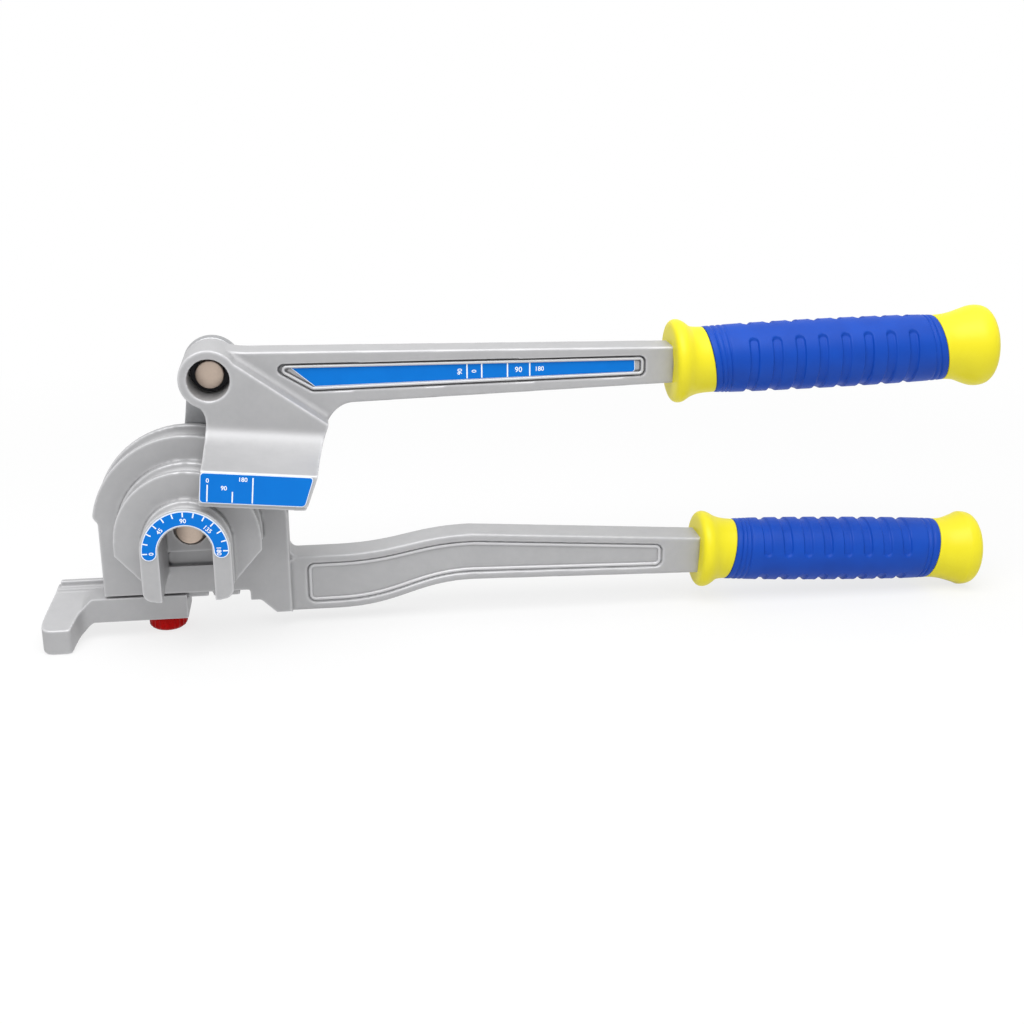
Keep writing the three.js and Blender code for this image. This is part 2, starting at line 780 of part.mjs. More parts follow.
function handlePlate() {
  const back = upperArmFront + pocketDepth;
  return plate(handlePocket(plateInset), back - plateThick, back, tubeSides / 2);
}

const bender = new THREE.Group();

function place(name, shape, material, frame) {
  const geometry = shape.isBufferGeometry ? shape : surface(shape);
  const mesh = new THREE.Mesh(geometry, material);
  mesh.name = name;
  if (frame) mesh.applyMatrix4(frame);
  bender.add(mesh);
}

const upperTipMiddle = (upperTipTop + upperTipFoot) / 2;
const lowerTipMiddle = -(lowerTipTop + lowerTipFoot) / 2;
const upperFrame = gripPlace(upperArmEnd + gripSeat, upperTipMiddle, upperGripTilt);
const lowerFrame = gripPlace(lowerArmEnd + gripSeat, lowerTipMiddle, lowerGripTilt());
const wellFloor = bossFront + bossWellDepth;
const topRing = wellFloor - gap - ringThick;
const frontWasher = headBack + gap;
const backWasher = linkBack + gap;
const centreRing = backWasher + washerThick + gap;
const pinEnd = centreRing + ringThick + ringLand;
const topPinFront = bossFront + topPinStand;
const topPinBack = linkBack + gap + pinHead;
const bushInner = pinRadius + pinRun;
const bushOuter = pinRadius + bushWall;

function washer(front) {
  return collar(pinRadius + gap, pinHeadRadius, front, front + washerThick);
}

place('former_body', formerBody(), castAluminium);
place('degree_scale_plate', degreePlate(), scaleBlue);
place('centre_pin', pin(largeFront - centrePinStand, pinEnd, centreRing, 0, 0, false), machinedSteel);
place('centre_pin_ring', ring(centreRing, 0, 0), darkSteel);
place('lower_arm', lowerArm(lowerFrame), castAluminium);
place('lower_arm_dowel_high', dowel(dowelHeights()[0]), darkSteel);
place('lower_arm_dowel_low', dowel(dowelHeights()[1]), darkSteel);
place('lower_grip_sleeve', gripSleeve(lowerGrip), yellowPlastic, lowerFrame);
place('lower_grip_cover', gripCover(lowerGrip), blueRubber, lowerFrame);

place('link_plate', linkPlate(), darkSteel);
place('link_bush', collar(bushInner, bushOuter, linkFront, linkBack), bronze);
place('link_front_washer', washer(frontWasher), machinedSteel);
place('link_back_washer', washer(backWasher), machinedSteel);
place('top_pin', pin(topPinFront, topPinBack, topRing, pinX, pinZ, true), machinedSteel);
place('top_pin_ring', ring(topRing, pinX, pinZ), darkSteel);

place('lever_casting', leverCasting(upperFrame), castAluminium);
place('lever_bush', collar(bushInner, bushOuter, wellFloor, headBack, pinX, pinZ), bronze);
place('shoe_index_plate', indexPlate(), scaleBlue);
place('handle_scale_plate', handlePlate(), scaleBlue);
place('upper_grip_sleeve', gripSleeve(upperGrip), yellowPlastic, upperFrame);
place('upper_grip_cover', gripCover(upperGrip), blueRubber, upperFrame);

place('clamp_bar', clampBar(), castAluminium);
place('clamp_knob', knob(), redPlastic);
place('clamp_stud', clampStud(), darkSteel);
place('clamp_washer', knobWasher(), machinedSteel);

const extent = new THREE.Box3().setFromObject(bender, true);
const centre = extent.getCenter(new THREE.Vector3());
bender.position.set(-centre.x, -centre.y, -extent.min.z);

export default bender;
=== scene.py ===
# %% [markdown]
# # A lever tube bender
# The tool has two cast handles with plastic grips. One ends in a grooved former that stays
# still, the other in a shoe that presses the tube round it. Castings, turned steel, moulded
# grips and printed scale plates each need their own way of modelling, one cell at a time.

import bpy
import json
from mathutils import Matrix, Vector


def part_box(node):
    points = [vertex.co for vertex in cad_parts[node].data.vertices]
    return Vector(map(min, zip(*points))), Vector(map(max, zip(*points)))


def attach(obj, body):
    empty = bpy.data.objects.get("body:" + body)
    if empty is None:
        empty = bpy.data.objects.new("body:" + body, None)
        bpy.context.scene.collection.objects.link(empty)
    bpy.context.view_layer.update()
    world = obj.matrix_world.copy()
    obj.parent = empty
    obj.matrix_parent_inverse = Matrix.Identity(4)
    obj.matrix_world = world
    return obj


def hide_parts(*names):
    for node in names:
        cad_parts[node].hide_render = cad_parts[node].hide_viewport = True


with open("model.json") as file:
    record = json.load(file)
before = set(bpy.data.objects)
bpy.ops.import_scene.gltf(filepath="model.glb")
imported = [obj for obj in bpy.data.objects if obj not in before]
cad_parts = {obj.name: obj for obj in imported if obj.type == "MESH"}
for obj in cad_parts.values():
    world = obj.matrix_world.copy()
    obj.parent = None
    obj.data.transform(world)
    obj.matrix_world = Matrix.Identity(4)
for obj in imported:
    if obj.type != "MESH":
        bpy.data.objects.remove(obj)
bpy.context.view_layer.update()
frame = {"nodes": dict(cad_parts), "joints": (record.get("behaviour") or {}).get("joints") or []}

# %% Blender's own modules
import json
import math

import bmesh
import bpy
from mathutils import Matrix, Vector
from mathutils.geometry import interpolate_bezier

# %% [markdown]
# ## Where the drawing lies
# Lengths are easier to read in millimetres from a centre that means something, so everything
# is drawn from the former's axis, with the front of its smallest stage at Y = 0. One matrix
# then carries a finished piece to its place in metres.

# %% The drawing's frame
joints = {joint["name"]: joint for joint in frame["joints"]}
former_axis = Vector(joints["link_swing"]["pos_m"])
former_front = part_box("former_body")[0].y
MM = 0.001
TO_METRES = Matrix.Translation((former_axis.x, former_front, former_axis.z)) @ Matrix.Scale(MM, 4)
print("former's axis at", [round(c / MM, 1) for c in former_axis])

# %% Sizes that several pieces share, in millimetres
RIMS = (17.9, 29.2, 39.5)
TUBES = (6.35, 9.53, 12.7)
GROOVES = [tube / 2 + 0.17 for tube in TUBES]
STAGE_MIDDLES = (6, 20.25, 38.5)
HEAD_BACK = 48.5
HEAD_DROP = 28.5
BLOCK_RIGHT = 38.9
BENCH = -47
GAP = 0.3
PIN = 5.75
BUSH_HOLE = 7.3
STUD_X, STUD_Y, STUD_HOLE = -13.2, 40, 2.9
DOWEL_X, DOWEL_HEIGHTS, DOWEL_HOLE = 32.5, (-22.5, -29.5), 2.55
LEVER_TILT = 5.3
top_pin = Vector(joints["lever_lift"]["pos_m"]) - former_axis
PIN_X, PIN_Z = top_pin.x / MM, top_pin.z / MM
print(f"top pin at {PIN_X:.1f}, {PIN_Z:.1f}")

# %% [markdown]
# ## Solids from a few strokes
# A casting is a pile of simple solids: extruded outlines, round bars and blocks. Each helper
# starts from an outline of a few points or from one of bmesh's create operators, and leaves
# a closed solid that Boolean modifiers can join and cut.


# %% Arcs and curves for outlines
def arc(x, z, radius, start, end, steps=32):
    """Points on an arc, in degrees from the right and counter-clockwise."""
    turns = [math.radians(start + (end - start) * i / steps) for i in range(steps + 1)]
    return [(x + radius * math.cos(t), z + radius * math.sin(t)) for t in turns]


def curve(a, handle_a, handle_b, b, steps=20):
    """Points on a Bezier curve from a to b."""
    points = interpolate_bezier(*(Vector((*p, 0)) for p in (a, handle_a, handle_b, b)), steps)
    return [(p.x, p.y) for p in points]


# %% Corners of a set radius, and outlines moved inwards
def filleted(points, radius, steps=8):
    """The outline with an arc of one radius at each corner sharper than twenty degrees."""
    path = []
    for before, corner, after in zip(points[-1:] + points[:-1], points, points[1:] + points[:1]):
        here = Vector(corner)
        back, on = (Vector(before) - here).normalized(), (Vector(after) - here).normalized()
        angle = back.angle(on)
        if math.pi - angle < math.radians(20):
            path.append(corner)
            continue
        reach = radius / math.tan(angle / 2)
        centre = here + (back + on).normalized() * radius / math.sin(angle / 2)
        first, last = here + back * reach - centre, here + on * reach - centre
        sweep = first.angle_signed(last)
        path += [tuple(centre + Matrix.Rotation(-sweep * i / steps, 2) @ first)
                 for i in range(steps + 1)]
    return path


def inset(outline, by):
    """The outline moved in by an even distance, each corner along its bisector."""
    points = [Vector(p) for p in outline]
    around = list(zip(points[-1:] + points[:-1], points, points[1:] + points[:1]))
    turn = 1 if sum(a.x * b.y - b.x * a.y for a, b, _ in around) > 0 else -1
    moved = []
    for before, corner, after in around:
        sides = [(corner - before).normalized(), (after - corner).normalized()]
        first, second = (Vector((-side.y, side.x)) * turn for side in sides)
        moved.append(tuple(corner + (first + second) * by / (1 + first.dot(second))))
    return moved


# %% Extruded outlines
def verts_of(geometry):
    return [item for item in geometry if isinstance(item, bmesh.types.BMVert)]


def rounded(solid, geometry, size, affect, segments=6):
    bmesh.ops.bevel(solid, geom=geometry, offset=size, segments=segments, profile=0.5,
                    affect=affect, material=-1, clamp_overlap=True)


def extruded(points, along, corners=0, edges=0):
    """A face through the points, grown along a vector. Corners and rims can be rounded."""
    solid = bmesh.new()
    solid.faces.new([solid.verts.new(p) for p in points])
    if corners:
        rounded(solid, solid.verts[:], corners, "VERTICES")
    grown = bmesh.ops.extrude_face_region(solid, geom=solid.faces[:])
    bmesh.ops.translate(solid, verts=verts_of(grown["geom"]), vec=along)
    bmesh.ops.recalc_face_normals(solid, faces=solid.faces[:])
    if edges:
        across = Vector(along).normalized()
        rim = [e for e in solid.edges if abs((e.verts[0].co - e.verts[1].co).dot(across)) < 1e-4
               and any(abs(f.normal.dot(across)) > 0.9 for f in e.link_faces)]
        rounded(solid, rim, edges, "EDGES", 4)
    return solid


def plate(outline, front, back, corners=0, edges=0):
    return extruded([(x, front, z) for x, z in outline], (0, back - front, 0), corners, edges)


def slab(outline, low, high):
    return extruded([(x, y, low) for x, y in outline], (0, 0, high - low))


# %% Blocks, round bars and bent tubes
def block(left, right, front, back, low, high):
    solid = bmesh.new()
    size = Matrix.Diagonal((right - left, back - front, high - low, 1))
    middle = Vector((left + right, front + back, low + high)) / 2
    bmesh.ops.create_cube(solid, size=1, matrix=Matrix.Translation(middle) @ size)
    return solid


def rod(radius, start, end, segments=96):
    """A round bar between two points."""
    start, end = Vector(start), Vector(end)
    turn = (end - start).to_track_quat("Z", "Y").to_matrix().to_4x4()
    solid = bmesh.new()
    bmesh.ops.create_cone(solid, cap_ends=True, segments=segments, radius1=radius, radius2=radius,
                          depth=(end - start).length,
                          matrix=Matrix.Translation((start + end) / 2) @ turn)
    return solid


def bent_tube(rim, radius, middle, drop=45, sides=48):
    """A tube that comes up on the left, bends over the former and goes down on the right."""
    solid = bmesh.new()
    foot = Matrix.Translation((-rim, middle, -drop))
    bmesh.ops.create_circle(solid, segments=sides, radius=radius, matrix=foot)
    ends = solid.edges[:]
    for lift in (drop, -drop):
        grown = bmesh.ops.extrude_edge_only(solid, edges=ends)["geom"]
        bmesh.ops.translate(solid, verts=verts_of(grown), vec=(0, 0, lift))
        if lift > 0:
            ends = [e for e in grown if isinstance(e, bmesh.types.BMEdge)]
            spun = bmesh.ops.spin(solid, geom=ends, cent=(0, middle, 0), axis=(0, 1, 0),
                                  angle=math.pi, steps=72, use_merge=False)
            ends = [e for e in spun["geom_last"] if isinstance(e, bmesh.types.BMEdge)]
    bmesh.ops.holes_fill(solid, edges=[e for e in solid.edges if e.is_boundary], sides=0)
    bmesh.ops.recalc_face_normals(solid, faces=solid.faces[:])
    return solid


# %% [markdown]
# ## Joining, cutting and softening
# Sand and pressure castings have no sharp edges: metal leaves a small radius inside and out.
# Bevelling a shape with dozens of cuts is fragile, so the joined solid is rebuilt as an even
# skin of squares about half a millimetre wide, and smoothed. That rounds every edge alike.


# %% Solids in and out of objects
def as_object(solid, name):
    mesh = bpy.data.meshes.new(name)
    solid.to_mesh(mesh)
    solid.free()
    thing = bpy.data.objects.new(name, mesh)
    bpy.context.scene.collection.objects.link(thing)
    return thing


def finished(rough, helpers=()):
    """The object's shape with its modifiers worked out, as a bmesh. The object goes."""
    graph = bpy.context.evaluated_depsgraph_get()
    solid = bmesh.new()
    solid.from_mesh(rough.evaluated_get(graph).to_mesh())
    for thing in (rough, *helpers):
        bpy.data.objects.remove(thing)
    return solid


def carved(solid, *steps):
    """Joins (+), cuts (-) or intersects (&) solids in turn."""
    operations = {"+": "UNION", "-": "DIFFERENCE", "&": "INTERSECT"}
    rough, tools = as_object(solid, "rough"), []
    for sign, other in steps:
        tools.append(as_object(other, "tool"))
        modifier = rough.modifiers.new("carve", "BOOLEAN")
        modifier.operation = operations[sign]
        modifier.solver = "MANIFOLD"
        modifier.object = tools[-1]
    return finished(rough, tools)


def cast(solid, skin, rounds):
    """The solid as it leaves a mould, with small radii on all its edges."""
    rough = as_object(solid, "rough")
    remesh = rough.modifiers.new("skin", "REMESH")
    remesh.mode, remesh.voxel_size = "VOXEL", skin
    smooth = rough.modifiers.new("radii", "SMOOTH")
    smooth.factor, smooth.iterations = 0.5, rounds
    return finished(rough)


def merged(solid, other):
    """Adds a second shape's faces to the first, without joining their surfaces."""
    mesh = bpy.data.meshes.new("extra")
    other.to_mesh(mesh)
    other.free()
    solid.from_mesh(mesh)
    bpy.data.meshes.remove(mesh)
    return solid


# %% [markdown]
# ## Wiring materials in Python
# A material is a small program of nodes. Wrapping a socket lets that program be written as
# sums, such as 0.4 + 0.1 * grain, and one method adds any other node. Patterns read Object
# coordinates, so a casting's grain runs through its whole block as it does in the metal.


# %% A socket that can be calculated with
class Wire:
    """An output socket of a material's node tree."""

    def __init__(self, tree, socket):
        self.tree, self.socket = tree, socket

    def node(self, kind, settings=None, sockets=None, output=0):
        made = self.tree.nodes.new("ShaderNode" + kind)
        for name, value in (settings or {}).items():
            setattr(made, name, value)
        for name, value in (sockets or {}).items():
            if isinstance(value, Wire):
                self.tree.links.new(value.socket, made.inputs[name])
            else:
                made.inputs[name].default_value = value
        return Wire(self.tree, made.outputs[output]) if made.outputs else None

    def maths(self, operation, *values):
        return self.node("Math", {"operation": operation}, dict(enumerate(values)))

    def __add__(self, other):
        return self.maths("ADD", self, other)

    def __sub__(self, other):
        return self.maths("SUBTRACT", self, other)

    def __rsub__(self, other):
        return self.maths("SUBTRACT", other, self)

    def __mul__(self, other):
        return self.maths("MULTIPLY", self, other)

    __radd__, __rmul__ = __add__, __mul__

    def between(self, low, high):
        """0 where this is low, 1 where it is high, and a soft step between."""
        limits = {"Value": self, "From Min": low, "From Max": high}
        return self.node("MapRange", {"interpolation_type": "SMOOTHSTEP"}, limits)


# %% Patterns and the shader itself
def material(name):
    """A new material, and a wire with the coordinates of the piece that wears it."""
    made = bpy.data.materials.new(name)
    made.use_nodes = True
    made.node_tree.nodes.clear()
    start = Wire(made.node_tree, None).node("TexCoord", output="Object")
    return made, start


def grain(place, size, detail=2):
    """Noise whose lumps are about size millimetres across, from 0 to 1."""
    sockets = {"Vector": place, "Scale": 1 / (size * MM), "Detail": detail, "Roughness": 0.6}
    return place.node("TexNoise", None, sockets)


def mix(mask, first, second):
    """A colour that goes from the first to the second as the mask goes from 0 to 1."""
    return mask.node("Mix", {"data_type": "RGBA"}, {0: mask, 6: first, 7: second}, output=2)


def bumped(height, depth):
    """A normal that rises and falls by depth millimetres as the height goes from 0 to 1."""
    return height.node("Bump", None, {"Height": height, "Distance": depth * MM, "Strength": 1.0})


def shaded(start, **sockets):
    """Ends a material with the Principled shader. A name's underscores stand for spaces."""
    named = {name.replace("_", " "): value for name, value in sockets.items()}
    shader = start.node("BsdfPrincipled", None, named)
    start.node("OutputMaterial", None, {"Surface": shader})


# %% Colours as a painter names them, from 0 to 255
def rgb(red, green, blue):
    linear = [c / 12.92 if c <= 0.04045 else ((c + 0.055) / 1.055) ** 2.4
              for c in (red / 255, green / 255, blue / 255)]
    return (*linear, 1)


# %% [markdown]
# ## Cast aluminium
# A die casting is matt and a little blotchy where the metal chilled, with a fine orange-peel
# skin. Each vertex stores how far it sticks out or lies back, and that value lightens the colour
# on outer edges as a painted highlight and darkens it in corners as painted shade.

# %% Aluminium
aluminium, place = material("cast_aluminium")
# A stored value per vertex: above 0 a painted highlight on outer edges, below 0 painted shade in
# hollows.
painted_light_and_shade = place.node("Attribute", {"attribute_name": "painted_light_and_shade"}, output="Fac")
blotch = grain(place, 9) * 0.6 + grain(place, 2.2) * 0.4
skin = grain(place, 0.45)
dull = mix(blotch, rgb(162, 162, 164), rgb(179, 179, 180))
# Painted shade: the colour darkens towards dark grey in hollows and corners.
painted_hollow_shade = mix(painted_light_and_shade.between(0, -1), dull, rgb(84, 84, 86))
# Painted highlight: the colour lightens towards pale grey on outer edges.
shaded(place, Base_Color=mix(painted_light_and_shade, painted_hollow_shade, rgb(212, 212, 214)), Metallic=0.3,
       Roughness=0.5 + 0.1 * (blotch - 0.5) - 0.1 * painted_light_and_shade.maths("MAXIMUM", painted_light_and_shade, 0.0),
       Normal=bumped(skin * 0.5 + blotch * 0.5, 0.03))
print(aluminium.name, len(aluminium.node_tree.nodes), "nodes")


# %% Painted highlight on a piece's outer edges, painted shade in its hollows
def paint_edge_light_and_shade(solid, start=0.05, reach=0.12):
    """Stores how each vertex stands out (1, painted highlight) or lies back (-1, painted shade)."""
    layer = solid.verts.layers.float.new("painted_light_and_shade")
    for vert in solid.verts:
        offsets = [edge.other_vert(vert).co - vert.co for edge in vert.link_edges]
        length = sum(offset.length for offset in offsets) or 1
        fall = -sum(offset.dot(vert.normal) for offset in offsets) / length
        size = min(max((abs(fall) - start) / reach, 0), 1)
        vert[layer] = math.copysign(size, fall)
    even = [(vert[layer] + sum(edge.other_vert(vert)[layer] for edge in vert.link_edges))
            / (1 + len(vert.link_edges)) for vert in solid.verts]
    for vert, value in zip(solid.verts, even):
        vert[layer] = value


# %% [markdown]
# ## Steel and bronze
# Turned parts show small dull spots and fine tool marks. They differ only in colour and
# roughness, so one function makes plated pins, grey steel, blackened rings and bronze.


# %% Steels and bronze
def turned_metal(name, dark, light, roughness):
    made, place = material(name)
    spots = grain(place, 1.1, 3)
    lines = grain(place, 0.25)
    shaded(place, Base_Color=mix(spots, dark, light), Metallic=0.88,
           Roughness=roughness + 0.12 * (spots - 0.5), Normal=bumped(lines, 0.012))
    return made


pin_steel = turned_metal("pin_steel", rgb(188, 170, 156), rgb(208, 191, 176), 0.36)
dark_steel = turned_metal("dark_steel", rgb(152, 153, 155), rgb(170, 171, 173), 0.44)
black_steel = turned_metal("black_steel", rgb(34, 34, 36), rgb(50, 50, 52), 0.4)
bush_bronze = turned_metal("bush_bronze", rgb(140, 112, 74), rgb(160, 130, 88), 0.4)

# %% [markdown]
# ## Plastic, rubber and print
# Moulded parts have a faint cloudiness and the fine skin of their mould. Strong colours wash
# out under a bright gleam, so each has its own. The plates' paint has a still finer skin.


# %% Moulded plastics and rubber
def moulded(name, first, second, roughness, lump, depth, gleam=0.3):
    made, place = material(name)
    cloud = grain(place, 14)
    skin = grain(place, lump)
    shaded(place, Base_Color=mix(cloud, first, second), Roughness=roughness + 0.1 * (skin - 0.5),
           Specular_IOR_Level=gleam, Normal=bumped(skin, depth))
    return made


yellow = moulded("yellow_plastic", rgb(224, 211, 26), rgb(230, 219, 36), 0.42, 0.8, 0.02)
blue = moulded("blue_rubber", rgb(2, 60, 158), rgb(6, 73, 180), 0.48, 0.35, 0.02, 0.22)
red = moulded("red_plastic", rgb(190, 0, 0), rgb(204, 4, 4), 0.4, 0.6, 0.015, 0.12)
label_blue = moulded("label_blue", rgb(0, 108, 200), rgb(2, 119, 212), 0.5, 0.5, 0.006, 0.12)
label_pale = moulded("label_pale", rgb(222, 232, 244), rgb(232, 240, 250), 0.45, 0.5, 0.006)
print_white = moulded("print_white", rgb(236, 242, 248), rgb(246, 249, 252), 0.45, 0.3, 0.004)
print("finishes so far:", [finish.name for finish in bpy.data.materials])


# %% [markdown]
# ## Keeping a piece
# Each finished solid is moved to its place, shaded smooth except at real corners, given its
# material, and told which body of the model it moves with and which plain node it stands for.


# %% Keep
def keep(name, solid, finish, body, nodes=(), sharp=40):
    bmesh.ops.transform(solid, matrix=TO_METRES, verts=solid.verts)
    piece = as_object(solid, name)
    piece.data.materials.append(finish)
    piece.data.shade_smooth()
    piece.data.set_sharp_from_angle(angle=math.radians(sharp))
    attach(piece, body)
    if nodes:
        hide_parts(*nodes)
    print(f"{name}: {len(piece.data.polygons)} faces")
    return piece


# %% [markdown]
# ## The former
# Three half discs step back one behind the other on one axis, each with the half-round
# groove that its tube is bent in. The grooves are cut with the bent tube itself: a circle
# lifted, spun half a turn and lowered again, a little thicker than the tube.


# %% The three stages
def stage(rim, foot, front, back):
    return plate(arc(0, 0, rim, 180, 0, 64) + foot, front, back)


small = stage(RIMS[0], curve((17.9, -15.7), (17.9, -19), (16, -20.9), (12.7, -20.9))
              + curve((-12.7, -20.9), (-16, -20.9), (-17.9, -19), (-17.9, -15.7)), 0, 13)
medium = stage(RIMS[1], [(29.2, -4.9), (16.2, -19.8), (-16.2, -19.8), (-29.2, -4.9)], 12, 29.5)
large = plate(arc(0, 0, RIMS[2], 171, 0, 64) + [
    (39.5, -39.2), (33, -39.2), (26.5, -33), (22.5, -33), (22.5, -HEAD_DROP),
    (-37, -HEAD_DROP), (-37, 3.7)], 28.5, HEAD_BACK)
rib = carved(block(-4, 18, 31.5, 35.5, -31.5, -27.5), ("-", block(5, 7, 30, 37, -33, -29.3)))
print("stages", RIMS, "for tubes", TUBES)

# %% Cutting the grooves, the slot, the bores and the clamp's guide
cuts = [bent_tube(rim, groove, middle)
        for rim, groove, middle in zip(RIMS[:2], GROOVES, STAGE_MIDDLES)]
half_bend = carved(bent_tube(RIMS[2], GROOVES[2], STAGE_MIDDLES[2]),
                   ("-", block(20, 60, 20, 60, -60, 0)))
slot = plate(arc(0, 0, 10.3, 180, 0, 48) + [(10.3, -60), (-10.3, -60)], -2, 28.5)
holes = [
    block(-10.3, 10.3, 27.5, 31.5, -16.4, -10),
    rod(7, (0, 27, 0), (0, 31, 0)),
    rod(PIN + 0.08, (0, 27, 0), (0, 52, 0)),
    block(-41, 10.7, 43.3, 46.9, -31, -25.2),
    rod(STUD_HOLE, (STUD_X, STUD_Y, -31), (STUD_X, STUD_Y, -15.2), 32),
    block(25.2, 42, 36.2, 45.7, -33.3, -18.7),
    *(rod(DOWEL_HOLE, (DOWEL_X, 44, z), (DOWEL_X, 52, z), 32) for z in DOWEL_HEIGHTS),
]
solid = carved(small, ("+", medium), ("+", large), ("+", rib), ("-", slot), ("-", half_bend),
               *(("-", cutter) for cutter in cuts + holes))
former = cast(solid, 0.55, 4)
# Painted highlight on its outer edges, painted shade in its hollows.
paint_edge_light_and_shade(former)
keep("former_casting", former, aluminium, "root", ["former_body"])


# %% [markdown]
# ## Beads and pockets
# Both arms have a long shallow pocket, and a raised bead runs round inside it with a narrow
# groove on each side. The bead follows the pocket's outline moved inwards: a curve with a
# round bevel turns that line into a tube that is half sunk in the pocket's floor.


# %% A bead along an outline
def bead(outline, by, radius, depth, corners):
    """A round bead inset from an outline in X and Z, centred at a depth in Y."""
    path = filleted(inset(outline, by), corners)
    line = bpy.data.curves.new("bead", "CURVE")
    line.dimensions, line.bevel_depth, line.bevel_resolution = "3D", radius, 4
    spline = line.splines.new("POLY")
    spline.points.add(len(path) - 1)
    for point, (x, z) in zip(spline.points, path):
        point.co = (x, depth, z, 1)
    spline.use_cyclic_u = True
    thing = bpy.data.objects.new("bead", line)
    bpy.context.scene.collection.objects.link(thing)
    tube = finished(thing)
    bmesh.ops.recalc_face_normals(tube, faces=tube.faces[:])
    # Painted highlight on the bead's front half and painted shade on its back half, by the same
    # stored value.
    layer = tube.verts.layers.float.new("painted_light_and_shade")
    for vert in tube.verts:
        vert[layer] = 0.6 * min(max((depth - vert.co.y) / radius, -1), 1)
    return tube


def pocket_cut(outline, face, floor, corners, ring=0.7):
    """What a pocket removes: down to its floor, and a little deeper all round its edge."""
    inward = math.copysign(1, floor - face)
    deep = plate(filleted(outline, corners), face, floor + ring * inward)
    left = plate(filleted(inset(outline, 2.3), max(corners - 2.3, 0.6)), floor, floor + 3 * inward)
    return carved(deep, ("-", left))


# %% [markdown]
# ## The grips' own frames
# A grip is turned on an axis that leans a degree or two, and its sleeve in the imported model
# already lies there. The middles of the sleeve's left and right halves give the axis, and
# the vertex furthest to the left along it gives the start.


# %% Axis and length from a sleeve
def grip_frame(node):
    """Where a grip starts, in the drawing's millimetres, its direction and its length."""
    place = TO_METRES.inverted()
    points = [place @ v.co for v in frame["nodes"][node].data.vertices]
    middle = sum(points, Vector()) / len(points)
    halves = [[p for p in points if side * (p.x - middle.x) > 0] for side in (-1, 1)]
    left, right = (sum(half, Vector()) / len(half) for half in halves)
    axis = (right - left).normalized()
    along = [(p - left).dot(axis) for p in points]
    return left + axis * min(along), axis, max(along) - min(along)


def tang(start, axis, length):
    """The round end of an arm that a grip is pushed on to."""
    return rod(7, start - axis, start + axis * (length - 12.3), 48)


upper_grip, lower_grip = grip_frame("upper_grip_sleeve"), grip_frame("lower_grip_sleeve")
for word, (start, axis, length) in (("upper", upper_grip), ("lower", lower_grip)):
    slope = math.degrees(math.atan2(axis.z, axis.x))
    print(f"{word} grip starts at {start.x:.1f}, {start.z:.1f} and tilts {slope:.2f} degrees")

# %% [markdown]
# ## The lower arm
# The arm leaves the block low down and cranks up towards its grip. Its long edges have a
# radius of more than a millimetre, which catches the light, so they are bevelled before the
# casting step, which alone would leave them too crisp.


# %% Lower arm
def lower_outline(left, right, margin):
    """The cranked outline, drawn in from its edge by a margin."""
    share = (right - 117) / 98.7
    tip_top, tip_foot = 9.8 + 6.7 * share, 30.7 + 2.2 * share
    high, low, crank_high, crank_low = -16.3 - margin, margin - 40.7, -9.8 - margin, margin - 30.7
    top = curve((59, high), (86, high), (92, crank_high), (117, crank_high))
    foot = curve((117, crank_low), (92, crank_low), (86, low), (59, low))
    return [(left, high), *top, (right, -tip_top - margin), (right, margin - tip_foot), *foot,
            (left, low)]


pocket = lower_outline(46.3, 200, 3.3)
high_fillet = [(BLOCK_RIGHT, -13.2),
               *curve((39.5, -13.2), (40.2, -15.2), (41.2, -16.2), (43.5, -16.3), 8),
               (43.5, -20), (BLOCK_RIGHT, -20)]
side_fillet = [(BLOCK_RIGHT, 36), (BLOCK_RIGHT, 29),
               *curve((39.5, 29), (39.9, 32), (41, 33), (43.6, 33), 8), (43.6, 36)]
solid = carved(
    plate(lower_outline(BLOCK_RIGHT, 217, 0), 33, 48.2, edges=1.1),
    ("-", pocket_cut(pocket, 30, 34.3, 3.2, 0.2)),
    ("-", pocket_cut(pocket, 51, 46.9, 3.2, 0.2)),
    ("+", block(25.5, 41, 36.5, 45.4, -33, -19)),
    ("+", plate(high_fillet, 33.6, 46.8)),
    ("+", slab(side_fillet, -39.8, -17.2)),
    ("-", block(20, BLOCK_RIGHT, 30, 36.2, -45, -10)),
    ("-", block(20, BLOCK_RIGHT, 45.7, 50, -45, -10)),
    *(("-", rod(DOWEL_HOLE, (DOWEL_X, 40.7, z), (DOWEL_X, 52, z), 32)) for z in DOWEL_HEIGHTS),
)
lower_arm = cast(solid, 0.45, 7)
# Painted highlight on its outer edges, painted shade in its hollows.
paint_edge_light_and_shade(lower_arm)
for depth in (34.35, 46.85):
    merged(lower_arm, bead(pocket, 1.3, 0.8, depth, 2))
merged(lower_arm, tang(*lower_grip))
keep("lower_arm_casting", lower_arm, aluminium, "root", ["lower_arm"])

# %% [markdown]
# ## The lever
# Boss, shoe and handle are one casting. The shoe's section is a wall that flares out to the
# front and steps back over each stage. Its face is a slanting outline. Extruding each in its
# own direction and keeping what they share gives the whole form, channels apart.

